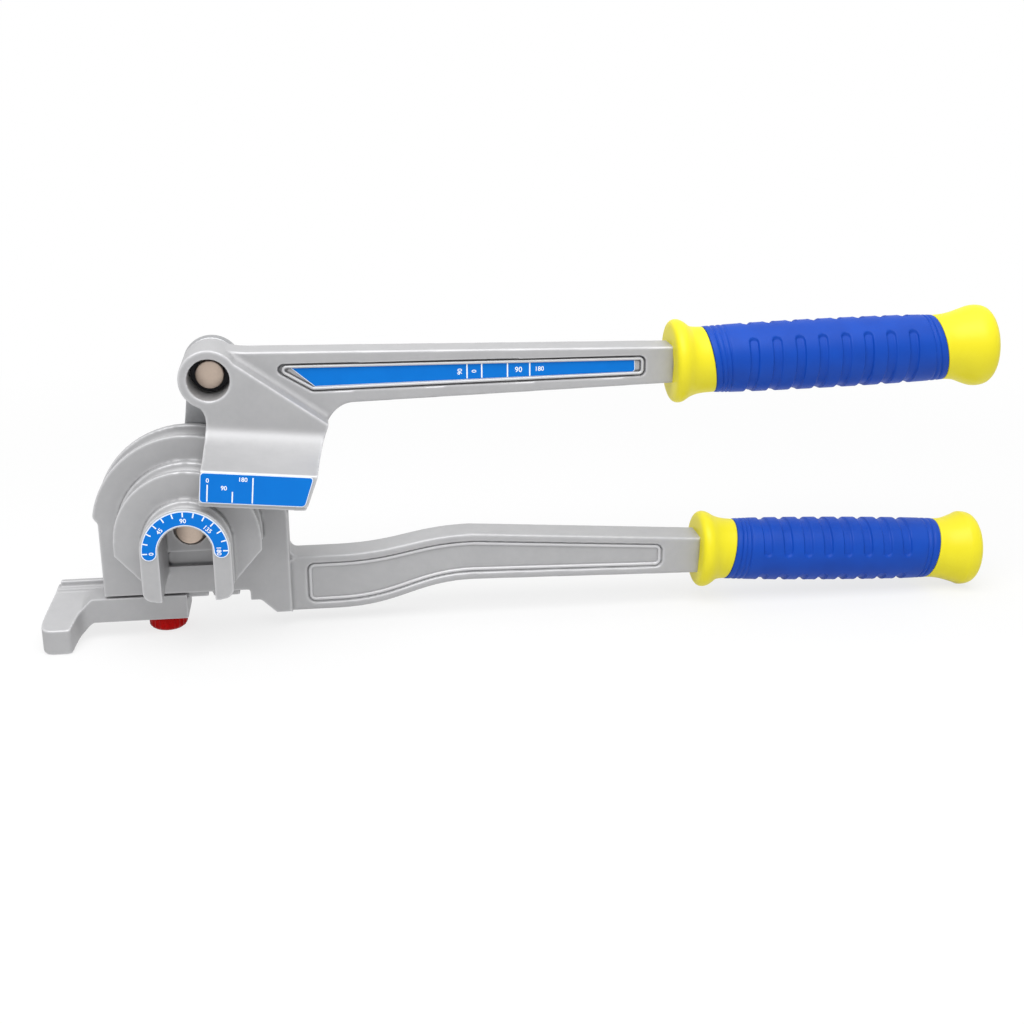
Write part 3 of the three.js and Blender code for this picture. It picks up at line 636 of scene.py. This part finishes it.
# %% The shoe
boss_turn = Matrix.Rotation(math.radians(-LEVER_TILT), 4, "Y")
boss = boss_turn @ Vector((PIN_X, 0, PIN_Z))
shoe_back = HEAD_BACK + 0.15
heights = [rim + 0.6 for rim in RIMS]
flare = curve((24, 46), (24, 39.9), (12.5, 35.8), (-1, 33.8), 28)
section = [(shoe_back, heights[2]), (shoe_back, 75.85), (24, 75.85), *flare, (-1, 20.5),
           (1.2, 20.5), (1.2, heights[0]), (11.7, heights[0]), (11.7, heights[1]),
           (28.2, heights[1]), (28.2, heights[2])]
cheek = curve((boss.x - 6, boss.z - 9), (boss.x - 3, boss.z - 11.5), (5.3, boss.z - 13),
              (5.3, 45), 16)
shoulder, heel = (boss.x + 2.6, boss.z + 11.4), (54, 48.1)
face = [(4.4, 17.9), (46, 17.9), heel, shoulder, (boss.x - 6, boss.z), *cheek]
wall = extruded([(-60, y, z) for y, z in section], (130, 0, 0))
channels = [rod(groove, (-60, middle, rim), (60, middle, rim), 64)
            for rim, groove, middle in zip(RIMS, GROOVES, STAGE_MIDDLES)]
shoe = carved(wall, ("&", plate(face, -3, 60)), *(("-", channel) for channel in channels))
tilt = Matrix.Rotation(math.radians(LEVER_TILT), 4, "Y")
bmesh.ops.transform(shoe, matrix=tilt, verts=shoe.verts)
print("shoe channels", [round(groove, 2) for groove in GROOVES])

# %% A fillet where the shoe's slanting side meets the handle
step_start, step_end = (tilt @ Vector((x, 0, z)) for x, z in (shoulder, heel))
run = step_end - step_start
out = Vector((-run.z, 0, run.x)).normalized()
out = out if out.x > 0 else -out
hollow = [(-1, 32), (0, 32), (0.15, 32.8), (0.5, 33.4), (1.1, 33.8), (1.9, 34), (1.9, 35), (-1, 35)]
fillet = extruded([step_start + run * 0.12 + out * far + Vector((0, y, 0)) for far, y in hollow],
                  run * 0.87)
print(f"fillet {run.length * 0.87:.1f} long")

# %% Handle, boss and pockets
WELL = 40
arm = [(PIN_X, PIN_Z),
       *curve((PIN_X + 4, PIN_Z + 11.2), (PIN_X + 7.5, PIN_Z + 9.6), (PIN_X + 10, PIN_Z + 9),
              (PIN_X + 15, 71.6), 10),
       (202.7, 68.4), (202.7, 52.9),
       *curve((68.5, 49.25), (62.5, 49.1), (58.6, 44.2), (56.3, 38.6), 16), (50, 42)]
handle_pocket = [(32.5, 66.2), (52.2, 54.3), (190.3, 56.3), (190.3, 64.9)]
tube_way = rod(GROOVES[2], (-60, STAGE_MIDDLES[2], RIMS[2]), (90, STAGE_MIDDLES[2], RIMS[2]), 64)
bmesh.ops.transform(tube_way, matrix=tilt, verts=tube_way.verts)
solid = carved(
    plate(arm, 34, 48, edges=0.8),
    ("-", tube_way),
    ("+", shoe),
    ("+", rod(12, (PIN_X, 24, PIN_Z), (PIN_X, shoe_back, PIN_Z))),
    ("+", fillet),
    ("-", pocket_cut(handle_pocket, 30, 35.6, 2.3)),
    ("-", pocket_cut(handle_pocket, 51, 46.4, 2.3)),
    ("-", rod(8.4, (PIN_X, 20, PIN_Z), (PIN_X, WELL, PIN_Z))),
    ("-", rod(BUSH_HOLE, (PIN_X, WELL - 2, PIN_Z), (PIN_X, 52, PIN_Z))),
)
lever = cast(solid, 0.54, 4)
# Painted highlight on its outer edges, painted shade in its hollows.
paint_edge_light_and_shade(lever)
for depth in (35, 46.8):
    merged(lever, bead(handle_pocket, 1.25, 0.65, depth, 1.4))
merged(lever, tang(*upper_grip))
keep("lever_cast", lever, aluminium, "lever", ["lever_casting"])

# %% [markdown]
# ## The clamp
# The bar slides under the former, and its arm turns forward and slopes down to the bench. The
# arm is drawn flat from above and then sheared: each point sinks in proportion to how far it
# lies in front of the bar.


# %% Clamp bar and arm
def sunk(solid, root, front, fall, start, full):
    """Lowers points in front of the root, the more the further left of the start they are."""
    for x in range(full, start + 1):
        bmesh.ops.bisect_plane(solid, geom=solid.verts[:] + solid.edges[:] + solid.faces[:],
                               plane_co=(x, 0, 0), plane_no=(1, 0, 0))
    for vert in solid.verts:
        share = min(max((start - vert.co.x) / (start - full), 0), 1)
        share = share * share * (3 - 2 * share)
        vert.co.z -= share * fall * max(root - vert.co.y, 0) / (root - front)
    return solid


bar_top, bar_low = -HEAD_DROP - 0.8, -HEAD_DROP - GAP - 11
plan = [*curve((-58.5, 41), (-59.8, 32), (-61.3, 25), (-61.5, 19), 14),
        *curve((-61.5, 19), (-61.5, 16), (-59.8, 14), (-56.5, 14), 10)[1:],
        *curve((-51.4, 14), (-50.1, 14), (-49.4, 14.9), (-49.3, 16), 5),
        *curve((-47.8, 23), (-46.8, 26.8), (-46, 28.5), (-42.3, 28.5), 16), (-36, 28.5), (-36, 41)]
arm_down = sunk(slab(plan, bar_low, bar_top), 41, 14, bar_low - BENCH, -42, -47)
travel = 14
long_hole = (arc(STUD_X, STUD_Y, STUD_HOLE, -90, 90, 16)
             + arc(STUD_X - travel, STUD_Y, STUD_HOLE, 90, 270, 16))
solid = carved(
    block(-58.5, -3.6, 40, 48.2, bar_low, bar_top),
    ("+", block(-36.5, -3.6, 28.5, 41, bar_low, bar_top)),
    ("+", arm_down),
    ("+", block(-58.3, -3.6, 42, 48.2, bar_top - 1, -HEAD_DROP - GAP)),
    ("+", block(-56.9, -19.2, 43.6, 46.6, bar_top - 1, -26.2)),
    ("-", block(-18.5, 1, 31.2, 35.8, bar_top - 3.3, -25.5)),
    ("-", slab(long_hole, bar_low - 1, bar_top + 1)),
)
clamp = cast(solid, 0.42, 5)
# Painted highlight on its outer edges, painted shade in its hollows.
paint_edge_light_and_shade(clamp)
keep("clamp_casting", clamp, aluminium, "clamp", ["clamp_bar"])

# %% [markdown]
# ## Turned parts
# Pins, rings, washers and bushes come off a lathe. Half of their section is a short chain of
# points, and a full spin turns it into the part. Small steps in the chain are the chamfers.


# %% Turning
def turned(profile, x, z):
    """Spins (radius, depth) points about an axis along Y, into a closed solid."""
    solid = bmesh.new()
    verts = [solid.verts.new((x + r, d, z)) for r, d in profile]
    pairs = list(zip(verts, verts[1:]))
    if profile[0][0] > 0:
        pairs.append((verts[-1], verts[0]))
    edges = [solid.edges.new(pair) for pair in pairs]
    bmesh.ops.spin(solid, geom=verts + edges, cent=(x, 0, z), axis=(0, 1, 0),
                   angle=2 * math.pi, steps=72, use_merge=True)
    bmesh.ops.remove_doubles(solid, verts=solid.verts[:], dist=1e-4)
    bmesh.ops.recalc_face_normals(solid, faces=solid.faces[:])
    return solid


def collar(inner, outer, front, back, chamfer=0.15):
    return [(inner, front), (outer - chamfer, front), (outer, front + chamfer),
            (outer, back - chamfer), (outer - chamfer, back), (inner, back)]


# %% Pins with their ring grooves, rings, washers and bushes
link_front = HEAD_BACK + 1.1
link_back = link_front + 6.2
ring_front = link_back + 1.1
centre = [(0, 25.7), (5.1, 25.7), (5.55, 25.85), (PIN, 26.2), (PIN, ring_front - 0.15),
          (5.05, ring_front - 0.15), (5.05, ring_front + 1.35), (PIN, ring_front + 1.35),
          (PIN, ring_front + 2.2), (5.35, ring_front + 2.6), (0, ring_front + 2.6)]
top = [(0, 34), (5.1, 34), (5.55, 34.15), (PIN, 34.5), (PIN, 38.35), (5.05, 38.35), (5.05, 39.85),
       (PIN, 39.85), (PIN, link_back + 0.3), (8.1, link_back + 0.3), (8.4, link_back + 0.6),
       (8.4, link_back + 1.6), (7.9, link_back + 2.1), (0, link_back + 2.1)]
lathe = [
    ("centre_pin_turned", centre, 0, 0, pin_steel, "root", "centre_pin", "machined_steel"),
    ("top_pin_turned", top, PIN_X, PIN_Z, pin_steel, "link", "top_pin", "machined_steel"),
    ("centre_ring", collar(5.2, 7.8, ring_front, ring_front + 1.2), 0, 0, black_steel, "root",
     "centre_pin_ring", "dark_steel"),
    ("top_ring", collar(5.2, 7.8, 38.5, 39.7), PIN_X, PIN_Z, black_steel, "link", "top_pin_ring",
     "dark_steel"),
    ("front_washer", collar(6.05, 8.4, HEAD_BACK + 0.3, HEAD_BACK + 0.8), 0, 0, pin_steel, "link",
     "link_front_washer", "machined_steel"),
    ("back_washer", collar(6.05, 8.4, link_back + 0.3, link_back + 0.8), 0, 0, pin_steel, "link",
     "link_back_washer", "machined_steel"),
    ("link_bush_turned", collar(5.83, 7.15, link_front, link_back), 0, 0, bush_bronze, "link",
     "link_bush", "bronze"),
    ("lever_bush_turned", collar(5.83, 7.15, WELL, HEAD_BACK), PIN_X, PIN_Z, bush_bronze, "lever",
     "lever_bush", "bronze"),
]
for name, profile, x, z, finish, body, node, slot_name in lathe:
    keep(name, turned(profile, x, z), finish, body, [node], sharp=30)

# %% [markdown]
# ## The link
# The link is a flat steel bar with round ends, narrowed in the middle. It is blanked from
# plate, so its faces are flat and only its rim is rounded, which one bevel does.

# %% Link
lean, end_radius, waist = 36, 12, 8.2
side = end_radius * math.cos(math.radians(lean))
rise = end_radius * math.sin(math.radians(lean))
reach = math.hypot(PIN_X, PIN_Z)
right_side = (curve((side, rise), (9.2, 12), (waist, 18), (waist, reach / 2), 12)
              + curve((waist, reach / 2), (waist, 46), (9.2, 52), (side, reach - rise), 12)[1:])
outline = (arc(0, 0, end_radius, 180 - lean, 360 + lean, 48)[:-1] + right_side
           + arc(0, reach, end_radius, -lean, 180 + lean, 48)[1:-1]
           + [(-x, z) for x, z in reversed(right_side)][:-1])
link = carved(plate(outline, link_front, link_back, edges=0.6),
              ("-", rod(BUSH_HOLE, (0, 45, 0), (0, 60, 0))),
              ("-", rod(5.9, (0, 45, reach), (0, 60, reach))))
turn = Matrix.Rotation(math.atan2(PIN_X, PIN_Z), 4, "Y")
bmesh.ops.transform(link, matrix=turn, verts=link.verts)
keep("link_bar", link, dark_steel, "link", ["link_plate"], sharp=30)

# %% [markdown]
# ## The knob
# A moulded knob has straight flutes for the fingers and a rounded foot. The foot's curve is
# part of the spun section, and then each ring of vertices is pushed in between the ribs.

# %% Knob
KNOB = Vector((STUD_X, STUD_Y, 0))
RIBS, WASHER = 20, 0.8
knob_high = bar_low - GAP - WASHER - GAP
foot_round = [(4.6, BENCH), (6.4, BENCH + 0.25), (7.5, BENCH + 1), (8, BENCH + 2.1)]
knob = bmesh.new()
chain = [(0, BENCH), *foot_round, (8, knob_high - 0.5), (7.6, knob_high), (STUD_HOLE, knob_high),
         (STUD_HOLE, BENCH + 2), (0, BENCH + 2)]
verts = [knob.verts.new((KNOB.x + r, KNOB.y, z)) for r, z in chain]
edges = [knob.edges.new(pair) for pair in zip(verts, verts[1:])]
bmesh.ops.subdivide_edges(knob, edges=[edges[4]], cuts=3)
bmesh.ops.spin(knob, geom=knob.verts[:] + knob.edges[:], cent=KNOB, axis=(0, 0, 1),
               angle=2 * math.pi, steps=160, use_merge=True)
bmesh.ops.remove_doubles(knob, verts=knob.verts[:], dist=1e-4)
bmesh.ops.recalc_face_normals(knob, faces=knob.faces[:])
for vert in knob.verts:
    offset = Vector((vert.co.x - KNOB.x, vert.co.y - KNOB.y))
    if offset.length > 7.4:
        ribs = 0.5 + 0.5 * math.cos(RIBS * math.atan2(offset.y, offset.x))
        vert.co.xy = KNOB.xy + offset * (1 - 0.055 * (1 - ribs ** 0.8))
keep("knob_moulded", knob, red, "knob", ["clamp_knob"], sharp=50)

# %% Nodes whose shape is right keep it and get their metal
for node, finish in (("clamp_stud", dark_steel), ("clamp_washer", pin_steel),
                     ("lower_arm_dowel_high", dark_steel), ("lower_arm_dowel_low", dark_steel)):
    frame["nodes"][node].data.materials.clear()
    frame["nodes"][node].data.materials.append(finish)
    print(f"{node} keeps its shape in {finish.name}")

# %% [markdown]
# ## The grips' plastic sleeves
# The sleeve has a trumpet lip, a neck, a hidden core and a bulb. A coarse section is spun and
# a Subdivision Surface rounds it, as a designer would lay out a moulded part. The joint to
# the blue cover isn't square to the axis, so the rings near it are slid to and fro.


# %% Leaning a ring of vertices
def leaned(co, start, end, lean, fade=14):
    """How far a point moves along the grip, so that the cover's ends lean as they do."""
    near = min(abs(co.x - start), abs(co.x - end))
    weight = max(0.0, 1 - near / fade)
    weight = weight * weight * (3 - 2 * weight)
    return -math.tan(math.radians(lean)) * co.z * weight


def on_grip(solid, start, axis):
    """Carries a grip drawn along X from the origin to its place on the arm."""
    turn = Matrix.Rotation(-math.atan2(axis.z, axis.x), 4, "Y")
    bmesh.ops.transform(solid, matrix=Matrix.Translation(start) @ turn, verts=solid.verts)
    return solid


def spun_along(profile, steps):
    """Spins (radius, along) points about X, open where the profile is open."""
    solid = bmesh.new()
    verts = [solid.verts.new((along, 0, radius)) for radius, along in profile]
    edges = [solid.edges.new(pair) for pair in zip(verts, verts[1:])]
    bmesh.ops.spin(solid, geom=verts + edges, cent=(0, 0, 0), axis=(1, 0, 0),
                   angle=2 * math.pi, steps=steps, use_merge=True)
    bmesh.ops.remove_doubles(solid, verts=solid.verts[:], dist=1e-4)
    bmesh.ops.recalc_face_normals(solid, faces=solid.faces[:])
    return solid


# %% Sleeve
def sleeve(length, cover_start, cover_end, lean, slim):
    profile = [
        (0, length - 12), (7.3, length - 12), (7.3, length - 13), (7.3, 1.2), (7.3, 0.1),
        (8.2, 0), (14.6, 0), (16.6, 0.5), (17.65, 1.9), (17.75, 3.4), (17.3, 5.2), (15.6, 7.4),
        (14.5, 9.6), (14.05, 12.4), (14, cover_start - 0.8), (13.95, cover_start - 0.1),
        (13.4, cover_start), (11.7, cover_start), (11.6, cover_start + 1), (11.6, cover_end - 1),
        (11.7, cover_end), (13.5, cover_end), (14, cover_end + 0.1), (14.05, cover_end + 0.9),
        (14.1, cover_end + 3), (14.5, cover_end + 6.2), (15.8, cover_end + 10),
        (17.1, cover_end + 13.6), (17.6, length - 8), (17.4, length - 4.4), (16, length - 1.9),
        (12.5, length - 0.55), (7, length - 0.1), (2.4, length), (0, length)]
    solid = spun_along(profile, 32)
    for vert in solid.verts:
        if Vector(vert.co.yz).length > 11.65 or vert.co.x > length - 12:
            vert.co.yz = Vector(vert.co.yz) * slim
        if Vector(vert.co.yz).length > 11 and vert.co.x > 8:
            vert.co.x += leaned(vert.co, cover_start, cover_end, lean)
    return solid


def soften(piece, levels):
    surface = piece.modifiers.new("surface", "SUBSURF")
    surface.levels = surface.render_levels = levels


# %% [markdown]
# ## The soft covers
# Each cover is a barrel with two sets of eight sunk slots, one in front and one behind, and
# ring grooves at both ends. Slots this small follow the curve of the grip, so the surface is
# a fine spun net whose vertices are pressed in where a slot's outline covers them.


# %% How deep the moulding is at a point of the cover
SLOT_HALF_WIDTH, SLOT_DEPTH, SLOT_SOFTNESS = 1.9, 0.95, 0.42
RING_DEPTH, RING_WIDTH = 0.5, 0.42


def pressed(along, turn, slots, first, last, ends, radius):
    """Depth below the barrel, in millimetres, at a distance along and an angle round it."""
    depth = 0.0
    for place in slots:
        if abs(along - place) > 3:
            continue
        for low, high in ((first, last), (first + 180, last + 180)):
            off = abs((turn - (low + high) / 2 + 180) % 360 - 180)
            past_end = (off - (high - low) / 2) * math.radians(1) * radius
            over = max(0.0, past_end + SLOT_HALF_WIDTH)
            distance = math.hypot(along - place, over) - SLOT_HALF_WIDTH
            depth = max(depth, SLOT_DEPTH * min(max(0.5 - distance / SLOT_SOFTNESS, 0), 1))
            rim = math.exp(-((distance - 0.5) / 0.35) ** 2)
            depth -= 0.1 * rim if depth <= 0 else 0
    for place in ends:
        depth += RING_DEPTH * math.exp(-((along - place) / RING_WIDTH) ** 2)
    return depth


# %% Cover
def cover(start, end, lean, slim, slots, first, last):
    rows = round((end - start) / 0.3)
    barrel = lambda share: 13.95 + 0.85 * (4 * share * (1 - share)) ** 0.6
    chain = [(11.9, start + 0.3), (12.6, start + 0.12), (barrel(0) - 0.35, start + 0.1)]
    chain += [(barrel(i / rows), start + 0.3 + (end - start - 0.6) * i / rows)
              for i in range(rows + 1)]
    chain += [(barrel(1) - 0.35, end - 0.1), (12.6, end - 0.12), (11.9, end - 0.3),
              (11.9, start + 0.3)]
    solid = spun_along(chain, 168)
    ends = (start + 3, start + 5.2, start + 7.2, end - 3, end - 5.2)
    for vert in solid.verts:
        ring = Vector(vert.co.yz)
        if ring.length > 13:
            turn = math.degrees(math.atan2(vert.co.z, -vert.co.y))
            depth = pressed(vert.co.x, turn, slots, first, last, ends, ring.length)
            vert.co.yz = ring * (1 - depth / ring.length) * slim
        vert.co.x += leaned(vert.co, start, end, lean)
    return solid


# %% Both grips
grips = {
    "upper": dict(body="lever", place=upper_grip, ends=(16.7, 118.05), lean=9,
                  slots=[33.5 + 9.9 * i for i in range(8)], turns=(-95, 45), slim=1),
    "lower": dict(body="root", place=lower_grip, ends=(14.9, 108.3), lean=-8,
                  slots=[29.6 + 9.1 * i for i in range(8)], turns=(4, 144), slim=0.95),
}
for word, grip in grips.items():
    body, (start, axis, length), shape = grip["body"], grip["place"], (grip["lean"], grip["slim"])
    plastic = on_grip(sleeve(length, *grip["ends"], *shape), start, axis)
    piece = keep(f"{word}_sleeve", plastic, yellow, body, [f"{word}_grip_sleeve"],
                 180)
    soften(piece, 2)
    rubber = on_grip(cover(*grip["ends"], *shape, grip["slots"], *grip["turns"]), start, axis)
    keep(f"{word}_cover", rubber, blue, body, [f"{word}_grip_cover"], 60)

# %% [markdown]
# ## Scale plates
# A scale plate is printed metal: a pale border, a blue field and white marks. Each layer is a
# thin sheet that stands a few hundredths of a millimetre above the one below, so that edges
# stay crisp from any distance. All layers stay within the plate's half millimetre.


# %% Figures and marks
BORDER_FRONT, FIELD_FRONT, FIELD_BACK = 0.34, 0.42, 0.3


def numeral(text, size, at, turn, front):
    """Plain figures as a thin mesh, centred at a point and turned in the plate's plane."""
    line = bpy.data.curves.new("figures", "FONT")
    line.body, line.size, line.extrude = text, size, 0.02
    line.align_x, line.align_y, line.offset = "CENTER", "CENTER", 0.035
    thing = bpy.data.objects.new("figures", line)
    bpy.context.scene.collection.objects.link(thing)
    solid = finished(thing)
    stand = Matrix.Rotation(math.pi / 2, 4, "X")
    turned_by = Matrix.Rotation(math.radians(-turn), 4, "Y")
    where = Matrix.Translation((at[0], front - 0.02, at[1]))
    bmesh.ops.transform(solid, matrix=where @ turned_by @ stand, verts=solid.verts)
    return solid


def stroke(at, length, width, turn, front):
    """A straight mark: a thin block centred at a point, upright before it is turned."""
    mark = block(-width / 2, width / 2, -0.04, 0, -length / 2, length / 2)
    where = Matrix.Translation((at[0], front, at[1])) @ Matrix.Rotation(math.radians(-turn), 4, "Y")
    bmesh.ops.transform(mark, matrix=where, verts=mark.verts)
    return mark


def scale_plate(name, outline, back, marks, body, node, turn=None, frame_width=0.4, corners=0):
    """Border, field and marks of a plate whose back lies at a depth."""
    border = plate(outline, back - BORDER_FRONT, back, corners)
    inner = inset(outline, frame_width)
    field = plate(inner, back - FIELD_FRONT, back - FIELD_BACK, corners * 0.8)
    white = bmesh.new()
    for mark in marks:
        merged(white, mark)
    for solid in (border, field, white):
        if turn:
            bmesh.ops.transform(solid, matrix=turn, verts=solid.verts)
    keep(f"{name}_border", border, label_pale, body, [node])
    keep(f"{name}_field", field, label_blue, body, ())
    keep(f"{name}_marks", white, print_white, body)


# %% Degree scale on the small stage
outer, inner = 17.0, 11.0
middle = (outer + inner) / 2
ring = (arc(0, 0, outer, 180, 0, 64) + arc(middle, 0, 3, 0, -180, 20)[1:]
        + arc(0, 0, inner, 0, 180, 64)[1:] + arc(-middle, 0, 3, 0, -180, 20)[1:-1])
level = -FIELD_FRONT
marks = []
for i in range(13):
    turn = math.radians(180 - 15 * i)
    at = (15.6 * math.cos(turn), 15.6 * math.sin(turn))
    marks.append(stroke(at, 1.9, 0.5, math.degrees(turn) - 90, level))
for i, text in enumerate(("0", "45", "90", "135", "180")):
    turn = math.radians(180 - 45 * i)
    at = (12.95 * math.cos(turn), 12.95 * math.sin(turn))
    marks.append(numeral(text, 2.5, at, math.degrees(turn) - 90, level))
scale_plate("degree_scale", ring, 0, marks, "root", "degree_scale_plate")

# %% Index plate on the shoe
outline = [(4.9, 21.1), (45.7, 21.1), (48.6, 33.4), (4.9, 33.4)]
index_level = -1 - FIELD_FRONT
marks = [stroke((x, 21.75 + height / 2), height, 0.5, 0, index_level)
         for x, height in ((7.85, 6.8), (17.5, 4.4), (25.2, 10.4))]
marks += [numeral(text, 2.4, at, 0, index_level)
          for text, at in (("0", (7.85, 30.2)), ("90", (14.2, 27.4)), ("180", (21.3, 31.2)))]
scale_plate("index_scale", outline, -1, marks, "lever", "shoe_index_plate", tilt, 0.3, 1.6)

# %% Handle scale in the lever's pocket
outline = [(42.9, 65), (53.2, 56.2), *arc(184.6, 59.4, 1.5, -88, 0, 8),
           *arc(184.4, 62.4, 1.5, 0, 90, 8)]
handle_level = 35.6 - FIELD_FRONT
marks = [stroke((x, 60.6), 6.0, 0.55, 0, handle_level) for x in (115.5, 121.6, 132.3, 141.6)]
marks += [numeral(text, size, at, turn, handle_level) for text, size, at, turn in (
    ("90", 2.6, (112.6, 60.5), 90), ("0", 2.6, (118.5, 60.5), 90),
    ("90", 3.1, (136.9, 60.5), 0), ("180", 2.6, (145.6, 60.6), 0))]
scale_plate("handle_scale", outline, 35.6, marks, "lever", "handle_scale_plate", frame_width=0.3)

# %% [markdown]
# ## Floor, light and camera
# The tool stands on a pale floor that is white to the camera but still takes soft shadows: a
# share of it glows, and the rest is plain paint. Away from the tool it glows fully, so that
# the floor's edge can't be seen against the white world.

# %% Rays that show a surface
def showing(start):
    """1 for rays from the camera, a mirror or glass, and 0 for rays that carry light."""
    rays = start.node("LightPath", output="Is Camera Ray")
    for kind in ("Is Glossy Ray", "Is Transmission Ray"):
        rays = rays.maths("MAXIMUM", rays, start.node("LightPath", output=kind))
    return rays


# %% Floor
CLEAR_FROM, CLEAR_BY, GLOW = 0.24, 0.6, 0.77
floor_mesh = bmesh.new()
bmesh.ops.create_circle(floor_mesh, cap_ends=True, segments=64, radius=5)
floor = as_object(floor_mesh, "floor")
floor_finish, place = material("floor_paint")
distance = place.node("VectorMath", {"operation": "LENGTH"}, {0: place}, output="Value")
away = distance.between(CLEAR_FROM, CLEAR_BY)
paint = place.node("BsdfDiffuse", None, {"Color": (0.76, 0.76, 0.76, 1)})
glow = place.node("Emission", None, {"Color": (1, 1, 1, 1), "Strength": 1.0})
share = showing(place) * (GLOW + (1 - GLOW) * away)
shown = place.node("MixShader", None, {0: share, 1: paint, 2: glow})
place.node("OutputMaterial", None, {"Surface": shown})
floor.data.materials.append(floor_finish)
print(f"floor glows {GLOW:.0%} near the tool, fully from {CLEAR_BY} m")

# %% World
world = bpy.data.worlds.new("studio")
bpy.context.scene.world = world
world.use_nodes = True
world.node_tree.nodes.clear()
start = Wire(world.node_tree, None)
soft = start.node("Background", None, {"Color": (1, 1, 1, 1), "Strength": 0.5})
white = start.node("Background", None, {"Color": (1, 1, 1, 1), "Strength": 1.0})
surround = start.node("MixShader", None, {0: showing(start), 1: soft, 2: white})
start.node("OutputWorld", None, {"Surface": surround})


# %% Lamps
def softbox(name, place, target, size, power):
    lamp = bpy.data.lights.new(name, "AREA")
    lamp.shape, lamp.size, lamp.size_y, lamp.energy = "RECTANGLE", *size, power
    thing = bpy.data.objects.new(name, lamp)
    thing.location = place
    thing.rotation_euler = (Vector(target) - Vector(place)).to_track_quat("-Z", "Y").to_euler()
    bpy.context.scene.collection.objects.link(thing)
    print(f"{name} lamp of {power} W")


TOOL_MIDDLE = (0.0, 0.0, 0.05)
softbox("key", (-0.15, -0.5, 1.1), TOOL_MIDDLE, (1.3, 0.9), 15)
softbox("overhead", (0.1, 0.25, 1.1), TOOL_MIDDLE, (1.3, 0.6), 3)

# %% Camera
YAW, PITCH, ROLL = (math.radians(a) for a in (7.58, 18.67, -0.15))
CAMERA_PLACE = (-0.086014, -0.5767, 0.24423)
forward = Vector((math.sin(YAW) * math.cos(PITCH), math.cos(YAW) * math.cos(PITCH),
                  -math.sin(PITCH)))
level_right = Vector((math.cos(YAW), -math.sin(YAW), 0))
level_up = level_right.cross(forward)
right = level_right * math.cos(ROLL) + level_up * math.sin(ROLL)
up = level_up * math.cos(ROLL) - level_right * math.sin(ROLL)
lens = bpy.data.cameras.new("camera")
lens.sensor_width, lens.lens = 36, 51.12
lens.clip_start, lens.clip_end = 0.01, 20
camera = bpy.data.objects.new("camera", lens)
facing = Matrix((right, up, -forward)).transposed().to_4x4()
camera.matrix_world = Matrix.Translation(CAMERA_PLACE) @ facing
bpy.context.scene.collection.objects.link(camera)
bpy.context.scene.camera = camera
bpy.context.scene.view_settings.view_transform = "Standard"
print(f"camera with a {lens.lens} mm lens, {math.degrees(PITCH):.1f} degrees down")
